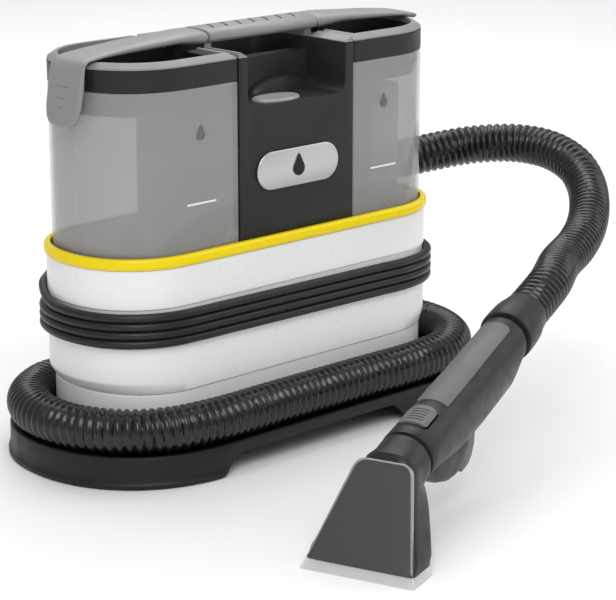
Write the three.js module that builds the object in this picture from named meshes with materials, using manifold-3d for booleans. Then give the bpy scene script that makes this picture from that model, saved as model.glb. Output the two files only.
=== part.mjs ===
// Compact spot carpet cleaner: a stadium-shaped machine with two lift-out tanks, its suction hose
// laid round the base tray, its mains cord wound round the housing, and the hand tool on the floor.
// Millimetres, +Z up. The machine's front faces -Y and its long side runs along X.
import * as THREE from 'three';
import { mergeVertices } from 'three/addons/utils/BufferGeometryUtils.js';
import Module from 'manifold-3d';

const wasm = await Module();
wasm.setup();

// ---------------------------------------------------------------- driving dimensions
const gap = 0.3; // air left between pieces that meet

// Plan outline of the housing: straight sides joined by two slightly squared round ends.
const half_straight = 110;
const end_reach = 65.6;
const half_width = 66;
const squareness = 2.14; // exponent of the superelliptic ends, 2 is a true ellipse
const end_steps = 14;
const body_shift = -2.5; // the housing, tanks and column stand a little left of the machine's middle

// The tanks and the column stand on the same outline, a little smaller.
const upper = { straight: 110, reach: 60.5, width: 62, shift: body_shift };

// The tray and the hose laid in it stand a little to the right.
const base = { reach: 68.4, hose_reach: 88, shift: 3 };

// Levels from the floor up.
const tray_floor_z = 22;
const tray_rim_z = 25;
const arch_z = 16.5;
const band_top_z = 62;
const wrap_z = [99.9, 127.3];
const trim_z = [159, 167];
const deck_top_z = 163;
const lid_z = [289.5, 305.5];
const rim_top_z = 310.5;
const crest_z = 322.5;

const tray_offset = 33.8; // the tray's edge stands this far outside the housing
const shell = 3;
const groove_depth = 1.2; // cord recess round the housing
const hem = 6.1; // how far the housing's foot draws in at each end
const hem_z = 71;

const column_x = [-60, 58];
const pocket_x = [-51.6, 49.8];
const pocket_floor_z = 267.5;
const handle_y = -6; // middle of the carrying handle
const grip_x = [-54, 57.4];
const grip_bottom_z = 310.8;
const hinge_radius = 9.4; // rounded inner end of each tank handle
const hinge_z = 317;
const hinge_x = { fresh: grip_x[0] - 0.6 - hinge_radius, dirty: grip_x[1] + 0.6 + hinge_radius };

const hose_radius = 17.5;
const hose_y = 84; // distance of the hose's centreline from the machine's middle line
const hose_z = tray_floor_z + 0.4 + hose_radius + 0.5;
const cord_radius = 3.4;

const motor_x = -4;
const tank_wall = 2.5;

// Hand tool: its own frame starts at the middle of the nozzle's mouth and runs up the wand.
const tool_place = [-175.7, -306, 0];
const tool_heading = 19.5; // degrees from +X
const wand_tilt = 12.7; // degrees above the floor
const wand_start = [76, 60.5]; // along the heading and up, where nozzle and handle meet
const wand_length = 182;
const wand_radius = [20.4, 18.9];
const mouth_width = 85;

// ---------------------------------------------------------------- materials
const finish = (color, roughness, metalness = 0, opacity = 1) =>
  new THREE.MeshStandardMaterial({ color, roughness, metalness, opacity, transparent: opacity < 1 });

const white = finish(0xe4e5e4, 0.35);
const yellow = finish(0xf2d90c, 0.35);
const charcoal = finish(0x333435, 0.45);
const black = finish(0x1c1d1e, 0.5);
const mid_grey = finish(0x8d8f90, 0.5);
const light_grey = finish(0xa9abac, 0.45);
const smoke = finish(0x9a9c9d, 0.1, 0, 0.4);
const clear = finish(0xd5d7d8, 0.1, 0, 0.4);
const hose_black = finish(0x17181a, 0.35);
const cord_black = finish(0x1b1c1d, 0.55);
const rubber = finish(0x151515, 0.9);
const silver = finish(0xc9cbcc, 0.25, 0.8);
const steel = finish(0xa8a9ab, 0.3, 0.9);
const board_green = finish(0x1f5a38, 0.6);

// ---------------------------------------------------------------- solids
function solid(geometry) {
  const bare = geometry.clone();
  bare.deleteAttribute('normal');
  bare.deleteAttribute('uv');
  const merged = mergeVertices(bare, 1e-4);
  const corners = merged.index.array;
  const triangles = [];
  for (let i = 0; i < corners.length; i += 3) {
    const [a, b, c] = [corners[i], corners[i + 1], corners[i + 2]];
    if (a !== b && b !== c && c !== a) triangles.push(a, b, c);
  }
  const vertProperties = new Float32Array(merged.attributes.position.array);
  return new wasm.Manifold(
    new wasm.Mesh({ numProp: 3, vertProperties, triVerts: new Uint32Array(triangles) })
  );
}

function meshGeometry(body) {
  const mesh = body.getMesh();
  const geometry = new THREE.BufferGeometry();
  geometry.setAttribute('position', new THREE.BufferAttribute(new Float32Array(mesh.vertProperties), 3));
  geometry.setIndex(new THREE.BufferAttribute(new Uint32Array(mesh.triVerts), 1));
  return geometry;
}

const join = (first, ...rest) => rest.reduce((sum, part) => sum.add(part), first);
const cut = (first, ...rest) => rest.reduce((sum, part) => sum.subtract(part), first);

function block([x0, x1], [y0, y1], [z0, z1]) {
  const geometry = new THREE.BoxGeometry(x1 - x0, y1 - y0, z1 - z0);
  return solid(geometry.translate((x0 + x1) / 2, (y0 + y1) / 2, (z0 + z1) / 2));
}

function extruded(points, depth) {
  return new THREE.ExtrudeGeometry(new THREE.Shape(points), { depth, bevelEnabled: false });
}

// Prisms along the three axes; the outline is given in the two other axes, in X, Y, Z order.
const prismZ = (points, [z0, z1]) => solid(extruded(points, z1 - z0).translate(0, 0, z0));

const prismY = (points, [y0, y1]) =>
  solid(extruded(points, y1 - y0).rotateX(Math.PI / 2).translate(0, y1, 0));

function prismX(points, [x0, x1]) {
  const turn = new THREE.Matrix4().set(0, 0, 1, 0, 1, 0, 0, 0, 0, 1, 0, 0, 0, 0, 0, 1);
  return solid(extruded(points, x1 - x0).applyMatrix4(turn).translate(x0, 0, 0));
}

// A turned piece about the Z axis from [radius, height] pairs.
function turned(profile, sides = 20) {
  const points = profile.map(([r, z]) => new THREE.Vector2(r, z));
  return new THREE.LatheGeometry(points, sides).rotateX(Math.PI / 2);
}

const turnedAlongX = (profile, sides = 20) => turned(profile, sides).rotateY(Math.PI / 2);

function pin(radius, [z0, z1], x, y, sides = 20) {
  return solid(turned([[0, z0], [radius, z0], [radius, z1], [0, z1]], sides).translate(x, y, 0));
}

function pinAlongY(radius, [y0, y1], x, z, sides = 20) {
  const geometry = new THREE.CylinderGeometry(radius, radius, y1 - y0, sides);
  return solid(geometry.translate(x, (y0 + y1) / 2, z));
}

function pinAlongX(radius, [x0, x1], y, z, sides = 20) {
  const profile = [[0, x0], [radius, x0], [radius, x1], [0, x1]];
  return solid(turnedAlongX(profile, sides).translate(0, y, z));
}

function oval(cx, cy, rx, ry, steps = 24, power = 2) {
  const points = [];
  for (let i = 0; i < steps; i++) {
    const t = (i / steps) * 2 * Math.PI;
    const [c, s] = [Math.cos(t), Math.sin(t)];
    points.push(new THREE.Vector2(
      cx + rx * Math.sign(c) * Math.abs(c) ** (2 / power),
      cy + ry * Math.sign(s) * Math.abs(s) ** (2 / power)
    ));
  }
  return points;
}

function rectangle([x0, x1], [y0, y1], r = 0) {
  if (r === 0) return [[x0, y0], [x1, y0], [x1, y1], [x0, y1]].map(([x, y]) => new THREE.Vector2(x, y));
  const shape = new THREE.Shape();
  shape.absarc(x1 - r, y1 - r, r, 0, Math.PI / 2);
  shape.absarc(x0 + r, y1 - r, r, Math.PI / 2, Math.PI);
  shape.absarc(x0 + r, y0 + r, r, Math.PI, 1.5 * Math.PI);
  shape.absarc(x1 - r, y0 + r, r, 1.5 * Math.PI, 2 * Math.PI);
  return shape.getPoints(r > 5 ? 6 : 3).slice(0, -1);
}

// Stadium with superelliptic ends, counter-clockwise from the front right.
function stadium(straight, reach, width, shift = 0) {
  const points = [];
  for (const side of [1, -1]) {
    for (let i = 0; i <= end_steps; i++) {
      const t = ((i / end_steps) - 0.5) * Math.PI;
      const along = side * (straight + reach * Math.max(Math.cos(t), 0) ** (2 / squareness));
      const across = side * width * Math.sign(Math.sin(t)) * Math.abs(Math.sin(t)) ** (2 / squareness);
      points.push(new THREE.Vector2(shift + along, across));
    }
  }
  return points;
}

const bodyOutline = (offset) =>
  stadium(half_straight, end_reach + offset, half_width + offset, body_shift);

const bandOutline = (offset) =>
  stadium(half_straight, end_reach - hem + offset, half_width - 1 + offset, body_shift);

const baseOutline = (offset) =>
  stadium(half_straight, base.reach + offset, half_width + offset, base.shift);

const upperOutline = (offset) =>
  stadium(upper.straight, upper.reach + offset, upper.width + offset, upper.shift);

// A closed ring: the [offset, z] profile carried once round an outline.
function ringSweep(outline, profile) {
  const loops = profile.map(([offset]) => outline(offset));
  const count = loops[0].length;
  const positions = [];
  profile.forEach(([, z], j) => loops[j].forEach((p) => positions.push(p.x, p.y, z)));
  const index = [];
  for (let j = 0; j < profile.length; j++) {
    const next = (j + 1) % profile.length;
    for (let i = 0; i < count; i++) {
      const k = (i + 1) % count;
      const [a, b, c, d] = [j * count + i, j * count + k, next * count + k, next * count + i];
      index.push(a, b, c, a, c, d);
    }
  }
  return bodyFrom(positions, index);
}

// A skin through matching loops, closed by a fan at each end.
function loft(loops) {
  const count = loops[0].length;
  const positions = loops.flat().flatMap((p) => [p.x, p.y, p.z]);
  const index = [];
  for (let j = 0; j + 1 < loops.length; j++) {
    for (let i = 0; i < count; i++) {
      const k = (i + 1) % count;
      const [a, b] = [j * count + i, j * count + k];
      const [c, d] = [a + count, b + count];
      index.push(a, b, d, a, d, c);
    }
  }
  for (const [j, flip] of [[0, true], [loops.length - 1, false]]) {
    const middle = loops[j].reduce((sum, p) => sum.add(p), new THREE.Vector3()).divideScalar(count);
    const centre = positions.length / 3;
    positions.push(middle.x, middle.y, middle.z);
    for (let i = 0; i < count; i++) {
      const [a, b] = [j * count + i, j * count + ((i + 1) % count)];
      index.push(...(flip ? [centre, b, a] : [centre, a, b]));
    }
  }
  return bodyFrom(positions, index);
}

function bodyFrom(positions, index) {
  const geometry = new THREE.BufferGeometry();
  geometry.setAttribute('position', new THREE.Float32BufferAttribute(positions, 3));
  geometry.setIndex(index);
  return solid(geometry);
}

function tube(points, radius, sides, steps) {
  const path = new THREE.CatmullRomCurve3(points.map((p) => new THREE.Vector3(...p)), false, 'centripetal');
  path.arcLengthDivisions = 1200;
  const section = new THREE.Shape(oval(0, 0, radius, radius, sides));
  return new THREE.ExtrudeGeometry(section, { steps, extrudePath: path, bevelEnabled: false });
}

const assembly = new THREE.Group();

function add(name, shape, material, parent = assembly) {
  const geometry = shape.isBufferGeometry ? shape : meshGeometry(shape);
  const mesh = new THREE.Mesh(geometry, material);
  mesh.name = name;
  parent.add(mesh);
  return mesh;
}

// ---------------------------------------------------------------- base
// The tray's skirt is cut into an arch between two deep feet on the front and on the back.
function archCutter() {
  const [left, right] = [-104, 79];
  const ease = 12; // half length of each S-curve
  const outline = [];
  for (const [middle, side] of [[left, 1], [right, -1]]) {
    const curve = [];
    for (let i = 0; i <= 8; i++) {
      const t = i / 8;
      curve.push(new THREE.Vector2(middle + side * ease * (2 * t - 1), arch_z * t * t * (3 - 2 * t)));
    }
    outline.push(...(side > 0 ? curve : curve.reverse()));
  }
  outline.push(new THREE.Vector2(right + ease, -1), new THREE.Vector2(left - ease, -1));
  return prismY(outline, [-110, 110]);
}

function baseTray() {
  const skirt_z = 1;
  const outer = ringSweep(baseOutline, [
    [-60, skirt_z], [tray_offset + 1.2, skirt_z], [tray_offset + 1.2, 5], [tray_offset, 8],
    [tray_offset, tray_rim_z], [-60, tray_rim_z]
  ]);
  const plug = prismZ(baseOutline(-59), [skirt_z, tray_rim_z]);
  const underside = prismZ(baseOutline(tray_offset - shell), [0, tray_floor_z - shell]);
  const channel = prismZ(baseOutline(tray_offset - shell), [tray_floor_z, tray_rim_z + 1]);
  const posts = footPlaces().map(([x, y]) => pin(10, [4, tray_floor_z - 1], x, y));
  return join(cut(join(outer, plug), underside, channel, archCutter()), ...posts);
}

function footPlaces() {
  return [[-142, -58], [128, -58], [-142, 58], [128, 58]];
}

add('base_tray', baseTray(), black);
['front_left', 'front_right', 'rear_left', 'rear_right'].forEach((place, i) => {
  const [x, y] = footPlaces()[i];
  add(`foot_${place}`, turned([[0, 0], [8.5, 0], [9.5, 1], [9.5, 3.7], [0, 3.7]]).translate(x, y, 0), rubber);
});

// ---------------------------------------------------------------- housing
// The hem under the cord draws in at the two ends only, so its profile gives both offsets.
function mainHousing() {
  const outline = ([reach, width]) => stadium(half_straight, end_reach + reach, half_width + width, body_shift);
  const even = (offset) => [offset, offset];
  return ringSweep(outline, [
    [[-hem - shell, -shell], band_top_z + gap], [[-hem, 0], band_top_z + gap], [even(0), hem_z],
    [even(0), wrap_z[0] - 1.5], [even(-groove_depth), wrap_z[0] - 0.5],
    [even(-groove_depth), wrap_z[1] + 0.5], [even(0), wrap_z[1] + 1.5],
    [even(0), trim_z[0] - gap], [even(-shell), trim_z[0] - gap], [even(-groove_depth - shell), wrap_z[1]],
    [even(-groove_depth - shell), wrap_z[0]], [even(-shell), hem_z]
  ]);
}

function lowerBand() {
  return ringSweep(bandOutline, [
    [-shell, tray_floor_z + gap], [0, tray_floor_z + gap], [0, band_top_z], [-shell, band_top_z]
  ]);
}

function yellowTrim() {
  const [low, high] = trim_z;
  return ringSweep(bodyOutline, [
    [-3.2, low], [0.8, low], [1.6, low + 2], [1.6, high - 2.5], [0.4, high], [-3.2, high]
  ]);
}

function tankDeck() {
  const slab = prismZ(bodyOutline(-3.5), [deck_top_z - 7, deck_top_z]);
  const valve_socket = pin(9, [150, 170], -118, 0);
  const air_passage = prismZ(rectangle([118, 146], [-24, 8], 4), [150, 170]);
  return cut(slab, valve_socket, air_passage);
}

add('lower_band', lowerBand(), white);
add('main_housing', mainHousing(), white);
add('yellow_trim', yellowTrim(), yellow);
add('tank_deck', tankDeck(), charcoal);

// ---------------------------------------------------------------- works inside the housing
function suctionMotor() {
  const can = turned([
    [4.6, 92], [44, 92], [46, 95], [46, 128], [38, 132], [38, 148], [30, 152], [4.6, 152], [4.6, 92]
  ], 24);
  return can.translate(motor_x, 0, 0);
}

function motorFan() {
  const profile = [
    [0, 68], [40, 68], [40, 70], [16, 74], [40, 80], [40, 82], [10, 84], [4, 86], [4, 140], [0, 140]
  ];
  return turned(profile, 24).translate(motor_x, 0, 0);
}

function motorBracket() {
  const plate = prismZ(rectangle([motor_x - 62, motor_x + 62], [-58, 58], 10), [86.5, 91.5]);
  return cut(plate, pin(14, [80, 95], motor_x, 0));
}

function waterPump() {
  const body = pin(17, [66, 104], -122, 0);
  const coil = block([-138, -106], [-20, 20], [72, 92]);
  const outlet = pin(4, [103, 120], -122, 8, 12);
  const inlet = pinAlongX(4, [-106, -88], 0, 84, 12);
  return join(body, coil, outlet, inlet);
}

function controlBoard() {
  const board = block([84, 150], [-30, 30], [70, 71.6]);
  const capacitor = pin(8, [71, 92], 100, -12);
  const relay = block([116, 134], [-14, 6], [71, 86]);
  const connector = block([88, 110], [12, 24], [71, 80]);
  return join(board, capacitor, relay, connector);
}

add('suction_motor', suctionMotor(), steel);
add('motor_fan', motorFan(), charcoal);
add('motor_bracket', motorBracket(), rubber);
add('water_pump', waterPump(), charcoal);
add('control_board', controlBoard(), board_green);

// ---------------------------------------------------------------- centre column
const button_place = { x: -8, y: -45, rx: 21.5, ry: 13 };
const saddle_y = [handle_y - 17.6, handle_y + 17.6]; // low stretch of the rims under the handle
const saddle_z = 307.2;
const screw_places = [[-53.5, 172], [51.5, 172], [-53.5, 298], [51.5, 298]];

function centerColumn() {
  const front_y = -upper.width;
  const tower = block(column_x, [front_y, 57.7], [deck_top_z + gap, lid_z[1]]);
  const hollow = block([column_x[0] + 3.5, column_x[1] - 3.5], [front_y + 3.5, 60], [167, 260]);
  const pocket = prismY(rectangle(pocket_x, [pocket_floor_z, 345], 10), [front_y - 1, -17]);
  const finger_room = prismZ(rectangle(pocket_x, [-7, 42], 8), [pocket_floor_z - 2, 320]);
  const above_ridge = block(pocket_x, [-18, -6], [296, 320]);
  const corbel = block([pocket_x[0] - 1, -47], [handle_y - 10, handle_y + 10], [290, lid_z[1]]);
  const bosses = screw_places.map(([x, z]) => pinAlongY(5, [44, 57.7], x, z));
  const screw_holes = screw_places.map(([x, z]) => pinAlongY(2.4, [46, 60], x, z, 12));
  const { x, y, rx, ry } = button_place;
  const button_hole = prismZ(oval(x, y, rx + 0.5, ry + 0.5), [253, 275]);
  const tall = cut(tower, hollow, pocket, finger_room, above_ridge);
  return cut(join(tall, corbel, ...bosses), button_hole, ...screw_holes);
}

// Pale edging on the top of the column: one piece behind the handle, one on each side in front of it.
const rim_z = [lid_z[1] + gap, rim_top_z];
const side_wall_x = [[column_x[0] + 0.4, pocket_x[0]], [pocket_x[1], column_x[1] - 0.4]];

const under_handle = block([-90, 90], saddle_y, [saddle_z, crest_z]);
const leg_y = [handle_y - 10, handle_y + 10]; // legs of the grip, standing on the column

function columnRimRear() {
  const strips = side_wall_x.map((span) => block(span, [leg_y[1] + gap, 57.7], rim_z));
  const rear = block([side_wall_x[0][0], side_wall_x[1][1]], [42, 57.7], rim_z);
  return cut(join(rear, ...strips), under_handle);
}

const columnRimFront = (span) => cut(block(span, [-upper.width, leg_y[0] - gap], rim_z), under_handle);

function columnRearCover() {
  const plate = block(column_x, [58, 61.5], [deck_top_z + gap, lid_z[1]]);
  const slots = [];
  for (let row = 0; row < 7; row++) {
    const z = 190 + row * 9;
    slots.push(prismY(rectangle([-34, 26], [z, z + 4], 1.9), [55, 65]));
  }
  const holes = screw_places.map(([x, z]) => pinAlongY(2.4, [55, 65], x, z, 12));
  return cut(plate, ...slots, ...holes);
}

function coverScrew([x, z]) {
  return join(pinAlongY(2, [47, 62.5], x, z, 12), pinAlongY(4.2, [61.8, 64], x, z, 16));
}

function badgePlate() {
  const rounded = rectangle([-44, 40.5], [202, 231.6], 14.7);
  return prismY(rounded, [-upper.width - 2.3, -upper.width - gap]);
}

function powerButton() {
  const { x, y, rx, ry } = button_place;
  const cap = prismZ(oval(x, y, rx, ry), [256, 269.3]);
  const flange = prismZ(oval(x, y, rx + 2, ry), [255, 259.5]);
  return join(cap, flange);
}

add('center_column', centerColumn(), charcoal);
add('column_rim_rear', columnRimRear(), light_grey);
add('column_rim_left', columnRimFront(side_wall_x[0]), light_grey);
add('column_rim_right', columnRimFront(side_wall_x[1]), light_grey);
add('column_rear_cover', columnRearCover(), charcoal);
screw_places.forEach((place, i) => add(`cover_screw_${i + 1}`, coverScrew(place), steel));
add('badge_plate', badgePlate(), silver);
add('power_button', powerButton(), light_grey);

// ---------------------------------------------------------------- carrying grip
function carryGrip() {
  const middle_z = (crest_z + grip_bottom_z) / 2;
  const bar = prismX(oval(handle_y, middle_z, 17, crest_z - middle_z, 24, 2.6), grip_x);
  const ribs = [];
  for (let i = 0; i < 7; i++) {
    const x = -40 + i * 14;
    ribs.push(block([x, x + 2], [handle_y - 9, handle_y + 9], [crest_z - 1.2, crest_z + 2]));
  }
  const legs = [[grip_x[0], -47.5], [pocket_x[1], grip_x[1] - 1]].map((span) =>
    block(span, leg_y, [lid_z[1] + gap, grip_bottom_z + 4])
  );
  return join(cut(bar, ...ribs), ...legs);
}

add('carry_grip', carryGrip(), mid_grey);

// ---------------------------------------------------------------- tanks
// side is -1 for the fresh water tank on the left and 1 for the dirty water tank on the right.
const tank_x = { fresh: column_x[0] - 0.6, dirty: column_x[1] + 0.6 };
const sides = { fresh: -1, dirty: 1 };
const far = 400;

function tankSolid(which, inset, z) {
  const side = sides[which];
  const face = tank_x[which] + side * inset;
  const span = side < 0 ? [-far, face] : [face, far];
  return prismZ(upperOutline(-inset), z).intersect(block(span, [-far, far], [z[0] - 1, z[1] + 1]));
}

function tank(which) {
  const outer = tankSolid(which, 0, [deck_top_z + gap, lid_z[0] - gap]);
  const inner = tankSolid(which, tank_wall, [deck_top_z + 3, lid_z[0] + 1]);
  return cut(outer, inner);
}

function lid(which) {
  const side = sides[which];
  const cap = tankSolid(which, 0, lid_z);
  const neck = tankSolid(which, 5, [265, lid_z[0] + 1]);
  const recess = tankSolid(which, 8, [286, lid_z[1] + 1]);
  const under = tankSolid(which, 7.5, [264, 283]);
  const inner_face = tank_x[which];
  const x = hinge_x[which];
  const arm_end = x + side * 15;
  const lug_span = [Math.min(x, arm_end), Math.max(x, arm_end)];
  const lug_foot = [Math.min(arm_end, inner_face + side * 2), Math.max(arm_end, inner_face + side * 2)];
  const lug = join(
    block(lug_span, [handle_y - 6, handle_y + 6], [300, 318]),
    block(lug_foot, [handle_y - 6, handle_y + 6], [lid_z[0], 307]),
    pinAlongY(3.2, [handle_y - 6, handle_y + 6], x, hinge_z)
  );
  const bore = pinAlongY(1.7, [handle_y - 8, handle_y + 8], x, hinge_z, 16);
  return cut(join(cut(join(cap, neck), recess, under), lug), bore);
}

function lidRim(which) {
  const side = sides[which];
  const z = [lid_z[1] + gap, rim_top_z];
  const outer = tankSolid(which, 0.3, z);
  const inner = tankSolid(which, 8, [z[0] - 1, z[1] + 1]);
  const inner_face = tank_x[which];
  const x = inner_face + side * 12;
  const lug_span = [Math.min(x, inner_face - side), Math.max(x, inner_face - side)];
  const lug_notch = block(lug_span, [handle_y - 6.4, handle_y + 6.4], [300, 320]);
  return cut(outer, inner, under_handle, lug_notch);
}

function lidSeal(which) {
  return cut(tankSolid(which, tank_wall + gap, [278, 283]), tankSolid(which, 5 - gap, [277, 284]));
}

// Tank handle: a bar from the hinge at the grip to the tank's outer end. The fresh tank's ends in a
// tab that hangs down and stands off a little, the dirty tank's in a short lip over the lid.
const arm_y = [handle_y - 17, handle_y + 17];
const arm_ends = {
  fresh: {
    crook: -174.2, // where the bar's underside meets its hooked end
    outer: [
      [-174.2, 310.2], [-174.2, 292], [-180.6, 265], [-183, 262.4], [-185.6, 264.5], [-179.2, 300],
      [-178, 306.5], [-174, 311.5], [-166, 314.2], [-150, 316.4], [-120, 319.2], [-90, 321.3]
    ],
    limit: () => prismX(rectangle(arm_y, [262, 345], 12), [-200, 0])
  },
  dirty: {
    crook: 169.1,
    outer: [[169.2, 309.5], [170.6, 307.8], [171.6, 309.6], [169, 312.8], [158, 315.4], [131, 318], [100, 320]],
    limit: () => prismZ(rectangle([0, 171.6], arm_y, 12), [300, 330])
  }
};

function tankArm(which) {
  const side = sides[which];
  const x = hinge_x[which];
  const { crook, outer, limit } = arm_ends[which];
  const end = x - side * hinge_radius;
  const outline = [
    [x, grip_bottom_z], [x + side * 10, 311], [x + side * 26, 313],
    [crook - side * 44, 312], [crook - side * 30, 308.5], [crook - side * 17, 306],
    [crook - side * 14.6, 306], [crook - side * 14, 311.2], [crook - side, 311.2], ...outer, [x, 322]
  ].map(([px, pz]) => new THREE.Vector2(px, pz));
  const bar = prismY(side < 0 ? outline : outline.reverse(), arm_y);
  const knuckle = pinAlongY(hinge_radius, arm_y, x, hinge_z, 40)
    .intersect(block([-100, 100], arm_y, [grip_bottom_z, 322]));
  const slot_y = [handle_y - 6.4, handle_y + 6.4];
  const slot_end = x + side * 20;
  const slot = block([Math.min(x, slot_end), Math.max(x, slot_end)], slot_y, [290, 319]);
  const slot_round = pinAlongY(3.6, slot_y, x, hinge_z, 28);
  const slot_low = block([Math.min(end - side, x + side * 6), Math.max(end - side, x + side * 6)], slot_y,
    [290, hinge_z]);
  const bore = pinAlongY(1.7, [handle_y - 20, handle_y + 20], x, hinge_z, 16);
  return cut(join(bar, knuckle).intersect(limit()), slot, slot_round, slot_low, bore);
}

for (const which of ['fresh', 'dirty']) {
  add(`${which}_lid`, lid(which), charcoal);
  add(`${which}_lid_rim`, lidRim(which), light_grey);
  add(`${which}_lid_seal`, lidSeal(which), rubber);
  add(`${which}_arm`, tankArm(which), mid_grey);
  const hinge_pin = pinAlongY(1.4, [handle_y - 16, handle_y + 16], hinge_x[which], hinge_z, 16);
  add(`${which}_arm_pin`, hinge_pin, steel);
}

function freshTank() {
  return cut(tank('fresh'), pin(4.5, [150, 180], -118, 0));
}

function freshValve() {
  const floor = deck_top_z + 3;
  return turned([
    [0, 157], [4, 157], [4, floor + gap], [10, floor + gap], [10, floor + 2], [4, floor + 4],
    [4, floor + 12], [0, floor + 12]
  ]).translate(-118, 0, 0);
}

const duct = { x: [118, 148], y: [-26, 10], top: 258 };
const float_place = [88, 18];

function dirtyTank() {
  const guide = pin(3, [deck_top_z + 2, 256], ...float_place, 16);
  const { x, y } = duct;
  const opening = prismZ(rectangle([x[0] + 4, x[1] - 4], [y[0] + 4, y[1] - 4], 3), [150, 180]);
  return cut(join(tank('dirty'), guide), opening);
}

function separatorDuct() {
  const { x, y, top } = duct;
  const floor = deck_top_z + 3 + gap;
  const wall = 2;
  const outer = prismZ(rectangle(x, y, 5), [floor, top]);
  const bore = prismZ(rectangle([x[0] + wall, x[1] - wall], [y[0] + wall, y[1] - wall], 3), [floor - 1, top + 1]);
  return cut(outer, bore);
}

function dirtyFloat() {
  const floor = deck_top_z + 3 + gap;
  const profile = [[3.6, floor], [13, floor], [15, floor + 3], [15, floor + 19], [13, floor + 22], [3.6, floor + 22]];
  return turned([...profile, profile[0]], 24).translate(...float_place, 0);
}

add('fresh_tank', freshTank(), smoke);
add('fresh_valve', freshValve(), charcoal);
add('dirty_tank', dirtyTank(), smoke);
add('separator_duct', separatorDuct(), clear);
add('dirty_float', dirtyFloat(), light_grey);

// ---------------------------------------------------------------- suction hose
const port_x = [-10, 30];
const cuff_x = [port_x[1] + gap, 75];

function hosePort() {
  const round = oval(hose_y, hose_z, 18, 18, 28);
  const body = join(prismX(round, port_x), block(port_x, [65.4, hose_y], [tray_floor_z + gap, hose_z + 18]));
  return cut(body, pinAlongX(14.6, [port_x[0] + 6, port_x[1] + 1], hose_y, hose_z));
}

function hosePortCuff() {
  const outer = pinAlongX(17.9, cuff_x, hose_y, hose_z);
  const spigot = pinAlongX(14.2, [port_x[0] + 10, cuff_x[0] + 1], hose_y, hose_z);
  return cut(join(outer, spigot), pinAlongX(12, [port_x[0], cuff_x[1] + 1], hose_y, hose_z));
}

// Wand frame to machine frame, for a point on the wand's axis.
function onWandAxis(along) {
  const tilt = THREE.MathUtils.degToRad(wand_tilt);
  const heading = THREE.MathUtils.degToRad(tool_heading);
  const run = wand_start[0] + along * Math.cos(tilt);
  return [
    tool_place[0] + run * Math.cos(heading),
    tool_place[1] + run * Math.sin(heading),
    wand_start[1] + along * Math.sin(tilt)
  ];
}

const cuff_end = wand_length + 40;

// From the port round the right end, along the front, round the left end, up behind the machine
// and out in a free arch to the hand tool.
function hoseRoute() {
  const ring = stadium(half_straight, base.hose_reach, hose_y, base.shift);
  const right_end = ring.slice(0, end_steps + 1).reverse();
  const left_end = ring.slice(end_steps + 1).reverse();
  const level = (p) => [p.x, p.y, hose_z];
  return [
    [cuff_x[1] + gap, hose_y, hose_z],
    [92, hose_y, hose_z],
    ...right_end.filter((_, i) => i % 2 === 0).map(level),
    [40, -hose_y, hose_z],
    [-40, -hose_y, hose_z],
    ...left_end.filter((_, i) => i % 2 === 0).map(level),
    [-75, 86, 49.5], [-40, 89, 64], [-10, 91.5, 79.5], [20, 93.5, 94.5], [60, 95, 113.5],
    [110, 94.5, 134], [160, 90.5, 150], [205, 81, 160.5], [257, 60, 168.3], [302, 33, 175.5],
    [325, 0, 178.4], [332, -32, 176], [327, -64, 168], [316, -86, 157], [295, -108, 146],
    [265, -130, 136], [230, -149, 129], [192, -164.5, 124],
    onWandAxis(cuff_end + 50),
    onWandAxis(cuff_end + gap)
  ];
}

add('hose_port', hosePort(), black);
add('hose_port_cuff', hosePortCuff(), charcoal);
add('suction_hose', tube(hoseRoute(), hose_radius - 0.2, 8, 72), hose_black);

// ---------------------------------------------------------------- mains cord
const gland_axis = [73.5, 88]; // y and z
const plug_axis = [86, 145];

function cordWrap() {
  return ringSweep(bodyOutline, [
    [-groove_depth + gap, wrap_z[0]], [5.9, wrap_z[0]], [5.9, wrap_z[1]], [-groove_depth + gap, wrap_z[1]]
  ]);
}

function cordGland() {
  const profile = [[0, -104], [6.5, -104], [6.5, -96], [5.6, -95], [4.4, -64], [0, -64]];
  return turnedAlongX(profile).translate(0, ...gland_axis);
}

function plugBody() {
  const profile = [[0, -105], [5, -105], [6.5, -96], [11, -88], [0, -88]];
  const grip = solid(turnedAlongX(profile).translate(0, ...plug_axis));
  const head = prismX(oval(...plug_axis, 16.5, 12, 28, 2.6), [-90, -63]);
  const pins = [-9.5, 9.5].map((dy) => pinAlongX(2.2, [-64, -44], plug_axis[0] + dy, plug_axis[1], 12));
  return join(grip, head, ...pins);
}

function plugHolder() {
  const x = [-84, -70];
  const back = block(x, [66.4, 68], [131, 158.6]);
  const arms = [[131, 132.6], [157.4, 158.6]].map((z) => block(x, [66.4, 92], z));
  return join(back, ...arms);
}

const lead_route = [[-63.7, 73.5, 88], [-50, 73, 88.4], [-35, 71.6, 90], [-22, 70.6, 92], [-8, 70.4, 93.6]];
const tail_route = [
  [-163, 50, 131.2], [-150, 61, 133], [-138, 68.5, 136], [-126, 76, 140], [-116, 82.5, 143.3],
  [-107, 86, 145]
];

add('cord_gland', cordGland(), rubber);
add('power_cord_lead', tube(lead_route, cord_radius, 8, 8), cord_black);
add('power_cord_wrap', cordWrap(), cord_black);
add('power_cord_tail', tube(tail_route, cord_radius, 8, 10), cord_black);
add('power_plug', plugBody(), black);
add('plug_holder', plugHolder(), black);

// ---------------------------------------------------------------- hand tool
const tool = new THREE.Group();
tool.position.set(...tool_place);
tool.rotation.z = THREE.MathUtils.degToRad(tool_heading);
assembly.add(tool);

// Along the wand: x runs from the nozzle joint to the hose, z is its upper side.
const wand = new THREE.Group();
wand.position.set(wand_start[0], 0, wand_start[1]);
wand.rotation.y = -THREE.MathUtils.degToRad(wand_tilt);
tool.add(wand);

const spigot_length = 22;
const trigger_pivot = [91, -29];

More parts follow.
